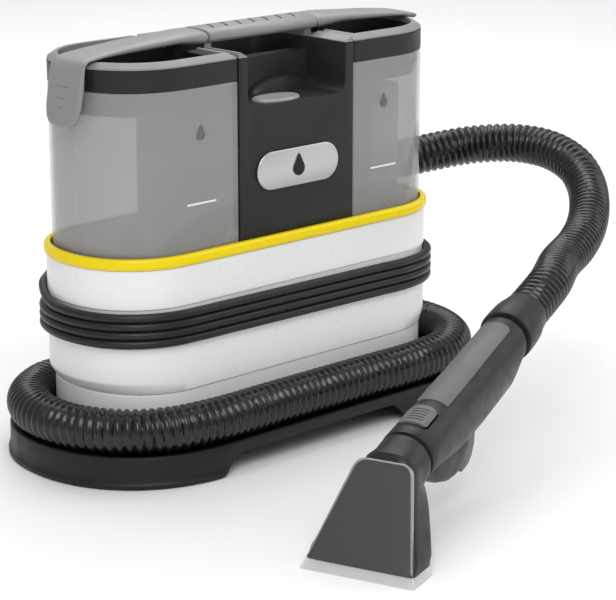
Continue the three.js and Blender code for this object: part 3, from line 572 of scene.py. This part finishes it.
def add_mains_cord(material):
    centre = spline(LEAD_ROUTE, 4)[:-1] + spline([LEAD_ROUTE[-2], LEAD_ROUTE[-1], *wound_turns()[::3],
                                                  *TAIL_ROUTE], 3)[8:]
    curve = bpy.data.curves.new("mains_cord", "CURVE")
    curve.dimensions = "3D"
    curve.bevel_depth = CORD_RADIUS * MM
    curve.bevel_resolution = 5
    curve.use_fill_caps = True
    line = curve.splines.new("POLY")
    line.points.add(len(centre) - 1)
    for point, position in zip(line.points, centre):
        point.co = (*place(position), 1)
    curve.materials.append(material)
    cord = bpy.data.objects.new("mains_cord", curve)
    bpy.context.collection.objects.link(cord)
    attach(cord, "machine")
    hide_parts("power_cord_lead", "power_cord_wrap", "power_cord_tail")
    return cord, centre


# ---------------------------------------------------------------- base and housing
def add_tray(material):
    wall = 3
    outer = [(TRAY_OFFSET - 0.5, 1), (TRAY_OFFSET + 1.6, 1.2), (TRAY_OFFSET + 1.8, 4),
             (TRAY_OFFSET + 0.9, 5.2), (TRAY_OFFSET + 0.4, 8), (TRAY_OFFSET, 14),
             (TRAY_OFFSET, TRAY_RIM_Z - 1.2), (TRAY_OFFSET - 0.5, TRAY_RIM_Z - 0.3),
             (TRAY_OFFSET - 1.4, TRAY_RIM_Z)]
    tray = build("tray_shell", stack(base_outline, outer), material)
    inside = TRAY_OFFSET - wall
    under = stack(base_outline, [(inside, -2), (inside, TRAY_FLOOR_Z - wall)])
    channel = stack(base_outline, [(inside, TRAY_FLOOR_Z), (inside, TRAY_RIM_Z + 2)])
    arch = slab(arch_outline(), -115, 115, "y")
    combine(tray, under, channel, arch)
    posts = [moved(turned([(0, 4), (10, 4), (10, TRAY_FLOOR_Z - 1), (0, TRAY_FLOOR_Z - 1)], 32),
                   Matrix.Translation((x, y, 0))) for x in (-142, 128) for y in (-58, 58)]
    combine(tray, *posts, operation="UNION")
    bevel(tray, 0.7, 2, 50)
    finished(tray, "machine", "base_tray", slot="black_plastic")


def arch_outline():
    """The opening between the feet, an S-curve at each end."""
    left, right, ease, height = -104, 79, 13, 16.5
    rise = []
    for i in range(17):
        t = i / 16
        rise.append((ease * (2 * t - 1), height * t * t * (3 - 2 * t)))
    start = [(left + x, z) for x, z in rise]
    end = [(right - x, z) for x, z in reversed(rise)]
    return [(left - ease, -3), *start, *end, (right + ease, -3)]


def add_housing(materials):
    low, high = BAND_Z
    profile = fillet([(-3, low), (0, low), (0, high), (-3, high)], 0.8)
    band = build("lower_band_shell", ring(band_outline, profile), materials["white"])
    finished(band, "machine", "lower_band", slot="white_shell")

    low, high = HOUSING_Z
    levels = [(-HEM - 3, -3, low), (-HEM - 0.4, -0.4, low), (-HEM, 0, low + 0.5), (-1, 0, HEM_Z - 1.2)]
    levels += [(-0.3, 0, HEM_Z - 0.2), (0, 0, HEM_Z + 1.2)]
    levels += [(offset, offset, z) for offset, z in (
        (0, WRAP_Z[0] - 1.5), (-1.2, WRAP_Z[0] - 0.5), (-1.2, WRAP_Z[1] + 0.5), (0, WRAP_Z[1] + 1.5),
        (0, high - 0.6), (-0.5, high), (-3, high), (-4.2, WRAP_Z[1]), (-4.2, WRAP_Z[0]), (-3, HEM_Z))]
    loops = []
    for reach, width, z in levels:
        outline = stadium(HALF_STRAIGHT, END_REACH + reach, HALF_WIDTH + width, BODY_SHIFT)
        loops.append([(x, y, z) for x, y in outline])
    shell = build("main_housing_shell", skin(loops, wrap=True), materials["white"])
    finished(shell, "machine", "main_housing", slot="white_shell")

    low, high = TRIM_Z
    corners = [(-3.2, low), (1.4, low), (1.9, low + 2.5), (1.7, high - 2), (0.4, high), (-3.2, high)]
    profile = fillet(corners, [0.4, 0.8, 2, 1.2, 1.2, 0.4])
    strip = build("yellow_trim_strip", ring(body_outline, profile), materials["yellow"])
    finished(strip, "machine", "yellow_trim", slot="yellow_trim")


# ---------------------------------------------------------------- column
def add_column(materials):
    front = -UPPER_WIDTH
    block = cuboid(COLUMN_X, (front, 57.7), (DECK_Z, LID_Z[1]))
    column = build("column_shell", block, materials["charcoal"])
    floor = POCKET_FLOOR_Z
    pocket = [(POCKET_X[0], 340), (POCKET_X[0], floor), (POCKET_X[1], floor), (POCKET_X[1], 340)]
    rounded_pocket = slab(fillet(pocket, [0.1, 10, 10, 0.1], 8), front - 9, -17, "y")
    well = [(POCKET_X[0], -7), (POCKET_X[1], -7), (POCKET_X[1], 42), (POCKET_X[0], 42)]
    hand_well = slab(fillet(well, [0.1, 0.1, 12, 12], 8), floor - 2, 340)
    above_ridge = cuboid(POCKET_X, (-18, -6), (296, 340))
    combine(column, rounded_pocket, hand_well, above_ridge)
    angles = [k / 12 * math.pi - math.pi / 2 for k in range(13)]
    ball = turned([(math.cos(t), math.sin(t)) for t in angles])
    nose = moved(ball, Matrix.Translation((20, -18, floor - 2)) @ Matrix.Diagonal((32, 11, 14, 1)))
    corbel = cuboid((POCKET_X[0] - 1, -47), across_handle(LEG_HALF_WIDTH), (290, LID_Z[1]))
    combine(column, nose, corbel, operation="UNION")
    x, y, half_x, half_y = BUTTON
    combine(column, slab(pill(x, y, half_x + 0.5, half_y + 0.5, 2.2), 251.5, 290))
    bevel(column, 1.1, 3, 35)
    finished(column, "machine", "center_column", slot="charcoal_plastic")


def across_handle(half_width):
    return (HANDLE_Y - half_width, HANDLE_Y + half_width)


def under_handle():
    """The room the handle's inner ends turn in, cut from the rims below them."""
    return cuboid((-90, 90), across_handle(SADDLE_HALF_WIDTH), (SADDLE_Z, 330))


def add_column_rims(material):
    """Pale edging that slopes down to the pocket: one piece behind the handle, two in front of it."""
    left, right = COLUMN_X[0] + 0.4, COLUMN_X[1] - 0.4
    section = [(42, RIM_LOW_Z), (57.7, RIM_LOW_Z), (57.7, RIM_TOP_Z), (46, RIM_TOP_Z),
               (42, RIM_LOW_Z + 0.8)]
    rear_rim = build("column_rim_rear_shell", slab(section, left, right, "x"), material)
    for name, edge, inner in (("left", left, POCKET_X[0]), ("right", right, POCKET_X[1])):
        wedge = [(edge, RIM_LOW_Z), (edge, RIM_TOP_Z - 0.3), (edge * 0.8 + inner * 0.2, RIM_TOP_Z - 0.3),
                 (inner, RIM_LOW_Z + 0.8), (inner, RIM_LOW_Z)]
        beside_leg = across_handle(LEG_HALF_WIDTH + 0.3)
        combine(rear_rim, slab(wedge, beside_leg[1], 50, "y"), operation="UNION")
        front = slab(wedge, -UPPER_WIDTH, beside_leg[0], "y")
        strip = build(f"column_rim_{name}_shell", front, material)
        combine(strip, under_handle())
        bevel(strip, 0.5, 2, 35)
        finished(strip, "machine", f"column_rim_{name}", slot="light_grey_plastic")
    combine(rear_rim, under_handle())
    bevel(rear_rim, 0.5, 2, 35)
    finished(rear_rim, "machine", "column_rim_rear", slot="light_grey_plastic")


def add_badge(materials):
    front = -UPPER_WIDTH
    outline = capsule((-44, 40.5), (202, 231.6))
    plate = build("badge_plate_shell", slab(outline, front - 2.4, front - 0.3, "y"), materials["badge"])
    bevel(plate, 0.9, 3, 40)
    finished(plate, "machine", "badge_plate", slot="silver_badge")
    mark = slab(drop_outline(-1.8, 215.5, 6), front - 2.9, front - 2.2, "y")
    drop = build("badge_drop", mark, materials["black"])
    finished(drop, "machine", slot="black_plastic")


def drop_outline(x, z, radius, steps=28):
    """A plain water drop, point upwards."""
    points = []
    for i in range(steps):
        t = i / steps * 2 * math.pi
        upper = max(math.cos(t), 0)  # 1 at the point of the drop, 0 over its lower half
        half_width = radius * math.sin(t) * (1 - 0.35 * upper ** 2)
        points.append((x + half_width, z + radius * math.cos(t) + upper ** 4 * radius * 0.9))
    return points


def add_power_button(materials):
    x, y, half_x, half_y = BUTTON

    def outline(inset):
        return pill(x, y, half_x - inset, half_y - inset, 2.2)
    levels = [(0, 256), (0, 267.6), (0.5, 268.6), (1.4, 269.2), (2.6, 269.3), (5, 268.8), (8, 268.2),
              (11.5, 268)]
    cap = build("power_button_cap", stack(outline, levels), materials["button"])
    finished(cap, "power_button", "power_button", slot="light_grey_plastic")


# ---------------------------------------------------------------- handle
def strap(stations, sides=40):
    """A bar through stations of (inner point, outer point, half width, squareness), points in X and Z."""
    loops = []
    for inner, outer, half_width, power in stations:
        inner, outer = Vector(inner), Vector(outer)
        middle, half = (inner + outer) / 2, (outer - inner) / 2
        loop = []
        for i in range(sides):
            across, lift = superellipse(i / sides * 2 * math.pi, half_width, 1, power)
            at = middle + half * lift
            loop.append((at.x, HANDLE_Y + across, at.y))
        loops.append(loop)
    return skin(loops)


ARM_ENDS = {
    "fresh": [
        ((-120, 312.2), (-120, 319.2), 17.2, 3.2), ((-150, 311.6), (-150, 316.4), 17.6, 3.4),
        ((-162, 311.2), (-164, 314.6), 18.2, 3.6), ((-170, 310.9), (-172.5, 312.4), 18.8, 3.8),
        ((-173.4, 308.6), (-176.8, 308.8), 19.4, 4), ((-174.3, 303), (-178.9, 303), 19.8, 4),
        ((-174.8, 291.5), (-180.8, 291), 19.8, 4), ((-177.6, 278), (-183.2, 277.5), 19.4, 4),
        ((-179.6, 270), (-184.5, 269.5), 17.6, 3.6), ((-180.4, 266), (-185.2, 265.8), 14.6, 3.2),
        ((-181.4, 263.6), (-184.6, 263.6), 10.5, 3), ((-182.4, 262.5), (-183.6, 262.5), 6, 3),
    ],
    "dirty": [
        ((110, 312.4), (110, 319.4), 17.1, 3.1), ((131, 312), (131, 318), 17.3, 3.2),
        ((150, 311.5), (150, 316), 17.5, 3.4), ((160, 311.2), (161, 314.7), 17.6, 3.4),
        ((167, 311), (168.4, 312.9), 17, 3.2), ((169.2, 309.8), (171.2, 310.6), 15.6, 3),
        ((170.2, 308.2), (171.4, 308.8), 12.5, 3),
    ],
}


def arm_stations(which):
    """From the rounded end at the hinge to the outer end over the tank's lid."""
    end = HINGE_X[which] - SIDE[which] * HINGE_RADIUS
    sections = [(0, 315.2, 318.4, 13), (0.5, 313.9, 320.1, 15.6), (2, 311.3, 321.6, 16.8),
                (5, 310.8, 322.3, 17), (15, 311.2, 322.3, 17), (30, 312.8, 321.3, 17)]
    stations = []
    for outwards, low, high, half_width in sections:
        x = end + SIDE[which] * outwards
        stations.append(((x, low), (x, high), half_width, 2.7))
    return stations + ARM_ENDS[which]


def add_handle(materials):
    low, high = GRIP_X
    sections = [(low, 1.4), (low + 0.4, 0.5), (low + 1.4, 0), (0, 0), (high - 1.4, 0), (high - 0.4, 0.5),
                (high, 1.4)]
    stations = []
    for x, inset in sections:
        stations.append(((x, GRIP_BOTTOM_Z + inset), (x, CREST_Z - inset), 17 - inset, 2.7))
    grip = build("carry_grip_shell", strap(stations), materials["arm"])
    legs = [cuboid(x, across_handle(LEG_HALF_WIDTH), (RIM_LOW_Z, 314))
            for x in ((low, -47.5), (POCKET_X[1], high - 1))]
    combine(grip, *legs, operation="UNION")
    turn = Matrix.Rotation(math.radians(-24), 4, "Z")
    grooves = []
    for i in range(7):
        at = Matrix.Translation((-40 + i * 14, HANDLE_Y, 0))
        grooves.append(moved(cuboid((-1, 1), (-10, 10), (CREST_Z - 1.6, CREST_Z + 3)), at @ turn))
    combine(grip, *grooves)
    finished(grip, "machine", "carry_grip", slot="mid_grey_plastic")

    for which in ("fresh", "dirty"):
        arm = build(f"{which}_arm_shell", strap(arm_stations(which)), materials["arm"])
        slot_x = sorted((HINGE_X[which] - SIDE[which] * 11, HINGE_X[which] + SIDE[which] * 20))
        combine(arm, cuboid(slot_x, across_handle(LUG_HALF_WIDTH + 0.4), (290, 320.4)))
        if which == "fresh":
            marks = []
            for z, half in ((292, 7), (284, 5), (277, 3)):
                face = -179.2 - 0.18 * (300 - z)  # outer side of the hanging tab at this height
                marks.append(cuboid((face - 2, face + 0.5), across_handle(half), (z, z + 1.3)))
            combine(arm, *marks)
        finished(arm, f"{which}_arm", f"{which}_arm", slot="mid_grey_plastic")


# ---------------------------------------------------------------- tanks and lids
def add_tank(which, materials):
    outline = tank_outline(which)
    levels = [(3, DECK_Z), (0.9, DECK_Z), (0.2, DECK_Z + 0.5), (0, DECK_Z + 1.4), (0, 287.8), (0.3, 289),
              (1.2, 289.2), (2.2, 289), (2.5, 288), (2.5, 168), (3.1, 166.6), (5, 166)]
    finished(build(f"{which}_tank_shell", stack(outline, levels), materials["tank"]),
             f"{which}_tank", f"{which}_tank", slot="smoked_clear")

    side = SIDE[which]
    levels = [(9, 283), (7.2, 283), (7, 271.4), (6.4, 271), (5.4, 271), (5, 271.6), (5, 289.3), (2, 289.5),
              (0.4, 289.5), (0, 290), (0, 305), (0.5, 305.5), (8, 305.5), (8, 287), (10, 286)]
    lid = build(f"{which}_lid_shell", stack(outline, levels), materials["lid"])
    face = TANK_FACE[which]
    arm_end = HINGE_X[which] + side * 15
    y = across_handle(LUG_HALF_WIDTH)
    lug = [cuboid(sorted((HINGE_X[which], arm_end)), y, (300, 318)),
           cuboid(sorted((arm_end, face + side * 2)), y, (289.5, 307)),
           slab([(HINGE_X[which] + x, HINGE_Z + z) for x, z in pill(0, 0, 3.2, 3.2, 2, 24)], *y, "y")]
    combine(lid, *lug, operation="UNION")
    finished(lid, f"{which}_lid", f"{which}_lid", slot="charcoal_plastic")

    low = RIM_LOW_Z
    profile = fillet([(-0.3, low), (-0.3, low + 1.2), (-5.2, RIM_TOP_Z), (-8, RIM_TOP_Z), (-8, low)],
                     [0.3, 0.8, 1, 0.7, 0.3])
    rim = build(f"{which}_lid_rim_shell", ring(lambda offset: outline(-offset), profile), materials["rim"])
    notch_x = sorted((face - side, face + side * 12))
    lug_notch = cuboid(notch_x, across_handle(LUG_HALF_WIDTH + 0.4), (300, 330))
    combine(rim, lug_notch, under_handle())
    finished(rim, f"{which}_lid", f"{which}_lid_rim", slot="light_grey_plastic")


def add_tank_marks(materials):
    """A plain drop and a fill line on the front of each tank."""
    front = -UPPER_WIDTH
    for which, x, body in (("fresh", -98, "fresh_tank"), ("dirty", 92, "dirty_tank")):
        y = (front - 0.35, front + 0.1)
        drop_shape = slab(drop_outline(x, 254, 4), *y, "y")
        drop = build(f"{which}_drop_mark", drop_shape, materials["inlay"])
        line_shape = cuboid((x - 14, x + 14), y, (202, 203.4))
        line = build(f"{which}_fill_line", line_shape, materials["white"])
        finished(drop, body, slot="mid_grey_plastic")
        finished(line, body, slot="white_shell")


# ---------------------------------------------------------------- hand tool
def bar_loops(stations, sides=56):
    """Sections across the wand from (along, middle height, half width, half height, squareness)."""
    loops = []
    for along, middle, half_width, half_height, power in stations:
        loop = []
        for i in range(sides):
            y, z = superellipse(i / sides * 2 * math.pi, half_width, half_height, power)
            loop.append(WAND_FRAME @ Vector((along, y, middle + z)))
        loops.append(loop)
    return loops


def on_wand_frame(shape):
    return moved(shape, WAND_FRAME)


def add_tool_handle(materials):
    barrel = skin(bar_loops([
        (0.4, 0, 18.4, 18.4, 2), (2.6, 0, 18.4, 18.4, 2), (3, 0, 19.8, 19.9, 2), (4.2, 0, 20.4, 20.4, 2),
        (14, -0.5, 20.3, 20.8, 2), (24, -1.2, 20.2, 21.4, 2.05), (46, -4.4, 19.5, 24.6, 2.1),
        (70, -6.4, 19, 26, 2.1), (100, -7.6, 18.5, 26.1, 2.1), (156, -7.4, 18.3, 25.7, 2.1),
        (165, -5.2, 18.5, 23.8, 2.05),
        (172, -2.6, 18.7, 21.5, 2), (177, -0.8, 18.9, 19.8, 2), (178.2, -0.4, 18.7, 19.2, 2),
        (178.8, 0, 17.5, 17.5, 2), (WAND_LENGTH - 0.1, 0, 17.4, 17.4, 2),
    ]))
    handle = build("tool_handle_shell", barrel, materials["tool"])
    pod = skin(bar_loops([
        (9, -12, 7, 6, 2), (12, -14, 10, 8, 2.2), (23, -19, 13, 12, 2.4), (34, -25, 13.4, 14.2, 2.5),
        (46, -30, 13.5, 15.5, 2.5), (56, -33.4, 13, 14.6, 2.5), (64, -35.5, 12.5, 13, 2.5),
        (76, -34, 11.5, 12, 2.4), (86, -28, 10, 9, 2.2), (90, -25, 7, 6, 2),
    ], 40))
    combine(handle, pod, operation="UNION")
    socket = skin(bar_loops([(-2, 0, 16.6, 16.6, 2), (24, 0, 16.6, 16.6, 2)], 40))
    bore = skin(bar_loops([(23, 0, 13, 13, 2), (WAND_LENGTH + 2, 0, 13, 13, 2)], 40))
    inlay_seat = on_wand_frame(slab(inlay_outline(-0.5), 15.2, 40))
    latch_seat = on_wand_frame(slab(latch_outline(-0.5), 14.5, 40))
    trigger_seat = on_wand_frame(cuboid((65, 102), (-8.5, 8.5), (-60, -23)))
    combine(handle, socket, bore, inlay_seat, latch_seat, trigger_seat)
    bevel(handle, 0.6, 2, 50)
    finished(handle, "machine", "tool_handle", slot="charcoal_plastic")


def inlay_outline(inset):
    x0, x1, y = 48.5 + inset, 169.5 - inset, 12 - inset
    return fillet([(x0, -y), (x1, -y), (x1, y), (x0, y)], [2.5, 8, 8, 2.5], 8)


def latch_outline(inset):
    x0, x1, y = 14.5 + inset, 38 - inset, 11 - inset
    return fillet([(x0, -y), (x1, -y), (x1, y), (x0, y)], [3, 7, 7, 3], 6)


def add_tool_inserts(materials):
    raised = on_wand_frame(slab(inlay_outline(0), 15.7, 30))
    inlay = build("grip_inlay_shell", raised, materials["inlay"])
    surface = skin(bar_loops([
        (40, 0, 20.6, 20.9, 2), (70, 0, 20, 20.3, 2.05), (100, 0, 19.6, 19.3, 2.1),
        (156, 0, 19.4, 19.1, 2.1), (180, 0, 19.4, 19.6, 2),
    ]))
    combine(inlay, surface, operation="INTERSECT")
    bevel(inlay, 0.5, 2, 50)
    finished(inlay, "machine", "tool_grip_inlay", slot="mid_grey_plastic")

    raised = on_wand_frame(slab(latch_outline(0), 18.4, 30))
    latch = build("latch_button_shell", raised, materials["inlay"])
    surface = skin(bar_loops([(5, 0, 21.2, 22.2, 2), (45, -0.4, 20.8, 22, 2)]))
    combine(latch, surface, operation="INTERSECT")
    grooves = [on_wand_frame(cuboid((x, x + 1.3), (-20, 20), (20.6, 40)))
               for x in (18.4, 21.8, 25.2, 28.6, 32)]
    combine(latch, *grooves)
    bevel(latch, 0.35, 2, 50)
    finished(latch, "latch_button", "latch_button", slot="light_grey_plastic")


def add_trigger(materials):
    corners = [(71.5, -52), (71, -48), (80, -44), (85, -36), (86.5, -25.5), (95, -25.5), (99.5, -34),
               (97, -41), (91, -48.5), (84, -52)]
    lever = fillet(corners, [1.5, 1.5, 3, 4, 2, 2, 5, 5, 5, 4], 4)
    trigger = build("spray_trigger_shell", on_wand_frame(slab(lever, -8, 8, "y")), materials["inlay"])
    bevel(trigger, 1, 3, 50)
    finished(trigger, "spray_trigger", "spray_trigger", slot="mid_grey_plastic")


def add_tool_cuff(materials):
    along_tool = [(0.3, 19.8), (0.7, 20.8), (2, 21.1), (10, 21.3), (20, 20.9), (26, 20.2), (33, 18.6)]
    outer = [(WAND_LENGTH + x, r) for x, r in along_tool]
    outer += [(CUFF_END - 1.5, 18), (CUFF_END, 17.4)]
    inner = [(CUFF_END, 14), (WAND_LENGTH + 0.3, 14)]
    loops = bar_loops([(x, 0, r, r, 2) for x, r in outer + inner])
    cuff = build("tool_cuff_shell", skin(loops, wrap=True), materials["tool"])
    finished(cuff, "machine", "tool_hose_cuff", slot="charcoal_plastic")
    return cuff


WINDOW_SLOPE = math.atan2(70.4, 45.3)


def wand_section(along, height):
    """A point in the tool's middle plane from wand coordinates."""
    point = Matrix.Rotation(-WAND_TILT, 4, "Y") @ Vector((along, 0, height)) + WAND_START
    return (point.x, point.z)


NOZZLE_SECTIONS = [
    # front point, rear point, half width, squareness
    ((4.1, 6.4), (32.5, 6.4), MOUTH_WIDTH / 2 - 2.2, 12),
    ((9, 14), (38, 12), 39.4, 11),
    ((14.5, 22.5), (45, 20), 36, 9.5),
    ((22, 34), (53, 28), 31.8, 8),
    ((29, 45), (60, 36), 28, 6.5),
    ((36.5, 56.6), (66, 39.6), 24.4, 5),
    ((43, 66.5), (71, 41), 21.4, 3.6),
    ((49, 73.6), wand_section(-14.6, -19.6), 20.3, 2.8),
    (wand_section(-12, 17.9), wand_section(-9, -20), 20, 2.3),
    (wand_section(-4, 20), wand_section(-4, -20), 20, 2),
    (wand_section(-1.2, 20), wand_section(-1.2, -20), 20, 2),
    (wand_section(-0.6, 18.8), wand_section(-0.6, -18.8), 18.8, 2),
]


def nozzle_loops(sides=64):
    loops = []
    for front, rear, half_width, power in NOZZLE_SECTIONS:
        front, rear = Vector(front), Vector(rear)
        depth = (front - rear).length
        towards = (front - rear) / depth
        reach = depth / 2
        loop = []
        for i in range(sides):
            across, along = superellipse(i / sides * 2 * math.pi, half_width, reach, power)
            at = rear + towards * (reach + along)
            loop.append(TOOL_FRAME @ Vector((at.x, across, at.y)))
        loops.append(loop)
    return loops


def window_outline(margin):
    low, high = 8 + margin, 82 - margin
    wide, narrow = MOUTH_WIDTH / 2 - 3.4 - margin, 20.4 - margin
    return fillet([(low, -wide), (high, -narrow), (high, narrow), (low, wide)], [1, 10, 10, 1], 8)


def on_window(shape):
    return moved(shape, TOOL_FRAME @ Matrix.Rotation(-WINDOW_SLOPE, 4, "Y"))


def add_nozzle(materials):
    body = build("nozzle_shell", skin(nozzle_loops()), materials["tool"])
    seat = on_window(slab(window_outline(-0.3), -2.4, 30))
    recess = on_window(slab(window_outline(3), -6, 30))
    combine(body, seat, recess)
    spigot = skin(bar_loops([(-1.5, 0, 16, 16, 2), (22, 0, 16, 16, 2)], 40))
    combine(body, spigot, operation="UNION")
    bevel(body, 0.7, 2, 50)
    finished(body, "nozzle", "nozzle_body", slot="charcoal_plastic")

    pane = build("nozzle_window_shell", on_window(slab(window_outline(0), -2.1, 0.6)), materials["window"])
    bevel(pane, 0.5, 2, 50)
    finished(pane, "nozzle", "nozzle_window", slot="smoked_clear")

    profile = ((-0.2, -1.8), (-0.2, 0.9), (0.2, 1.3), (0.9, 1.3), (1.2, 0.5))
    edges = [[(*p, z) for p in window_outline(margin)[8:-8]] for margin, z in profile]
    border = build("nozzle_window_border", on_window(skin(list(zip(*edges)))), materials["border"])
    finished(border, "nozzle", slot="clear_plastic")

    def rim(x0, x1, half, z):
        return [TOOL_FRAME @ Vector((x, y, z)) for x, y in
                fillet([(x0, -half), (x1, -half), (x1, half), (x0, half)], 1.5, 3)]
    loops = [rim(0, 30, 42.5, 0), rim(0.2, 30.2, 42.4, 1.2), rim(4.1, 32.6, 40.5, 6.3),
             rim(7, 29, 37.5, 6.3), rim(2.6, 27.5, 39.8, 0)]
    lip = build("nozzle_lip_shell", skin(loops, wrap=True), materials["lip"])
    finished(lip, "nozzle", "nozzle_lip", slot="clear_plastic")


# ---------------------------------------------------------------- carried-over CAD nodes
REFINED = {
    # node: (body, material, record slot, edge softening in mm)
    "tank_deck": ("machine", "lid", "charcoal_plastic", 0.8),
    "column_rear_cover": ("machine", "charcoal", "charcoal_plastic", 0.6),
    "hose_port": ("machine", "black", "black_plastic", 1.2),
    "hose_port_cuff": ("machine", "charcoal", "charcoal_plastic", 0.8),
    "cord_gland": ("machine", "rubber", "black_rubber", 0.5),
    "power_plug": ("machine", "black", "black_plastic", 0.9),
    "plug_holder": ("machine", "black", "black_plastic", 0.4),
    "separator_duct": ("dirty_tank", "duct", "clear_plastic", 0.6),
    "dirty_float": ("dirty_float", "rim", "light_grey_plastic", 0.8),
    "fresh_valve": ("fresh_valve", "lid", "charcoal_plastic", 0.4),
    "fresh_lid_seal": ("fresh_lid", "rubber", "black_rubber", 0.5),
    "dirty_lid_seal": ("dirty_lid", "rubber", "black_rubber", 0.5),
    "spray_jet": ("nozzle", "black", "black_plastic", 0.4),
}
REPAINTED = {
    "steel": ["suction_motor", "cover_screw_1", "cover_screw_2", "cover_screw_3", "cover_screw_4",
              "fresh_arm_pin", "dirty_arm_pin", "trigger_pin"],
    "rubber": ["foot_front_left", "foot_front_right", "foot_rear_left", "foot_rear_right", "motor_bracket"],
    "lid": ["motor_fan", "water_pump"],
    "board": ["control_board"],
}


def dress_cad_nodes(materials):
    shells = {}
    for node, (body, material, slot, width) in REFINED.items():
        shells[node] = refined(node, body, materials[material], width, slot=slot)
    for material, nodes in REPAINTED.items():
        for node in nodes:
            mesh_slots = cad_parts[node].data.materials
            mesh_slots.clear()
            mesh_slots.append(materials[material])
    return shells


# ---------------------------------------------------------------- stage
def add_floor():
    material, shader = new_material("floor_white", (0.9, 0.9, 0.9), 0.6)
    shade = ramp(material, noise(material, 3, 2), (0.895, 0.895, 0.895), (0.905, 0.905, 0.905))
    material.node_tree.links.new(shade, shader.inputs["Base Color"])
    span = 6000
    corners = [(x * span, y * span, -0.05) for x, y in ((-1, -1), (1, -1), (1, 1), (-1, 1))]
    floor = build("floor", (corners, [(0, 1, 2, 3)]), material)


def add_light(name, at, aim, size, power):
    data = bpy.data.lights.new(name, "AREA")
    data.shape = "RECTANGLE"
    data.size, data.size_y = size
    data.energy = power
    light = bpy.data.objects.new(name, data)
    bpy.context.collection.objects.link(light)
    light.location = place(at)
    light.rotation_euler = (place(aim) - light.location).to_track_quat("-Z", "Y").to_euler()


def add_studio():
    world = bpy.data.worlds.new("studio")
    bpy.context.scene.world = world
    world.use_nodes = True
    background = world.node_tree.nodes["Background"]
    background.inputs["Color"].default_value = (1, 1, 1, 1)
    background.inputs["Strength"].default_value = 0.5
    middle = (0, -100, 150)
    add_light("key", (-900, -1300, 1600), middle, (1.1, 1.1), 20)
    add_light("fill", (1300, -900, 900), middle, (1.0, 1.2), 5)
    add_light("backdrop", (900, 1000, 2100), (900, 1000, 0), (2.4, 2.4), 42)
    bpy.context.scene.view_settings.view_transform = "Standard"


# ---------------------------------------------------------------- assembly
def main():
    add_camera()
    materials = make_materials()
    hose, hose_path = add_hose(materials["hose"])
    mains_cord, cord_path = add_mains_cord(materials["cord"])
    shells = dress_cad_nodes(materials)
    cuff = add_tool_cuff(materials)
    add_tray(materials["black"])
    add_housing(materials)
    add_column(materials)
    add_column_rims(materials["rim"])
    add_badge(materials)
    add_power_button(materials)
    add_handle(materials)
    for which in ("fresh", "dirty"):
        add_tank(which, materials)
    add_tank_marks(materials)
    add_tool_handle(materials)
    add_tool_inserts(materials)
    add_trigger(materials)
    add_nozzle(materials)
    add_floor()
    add_studio()


main()
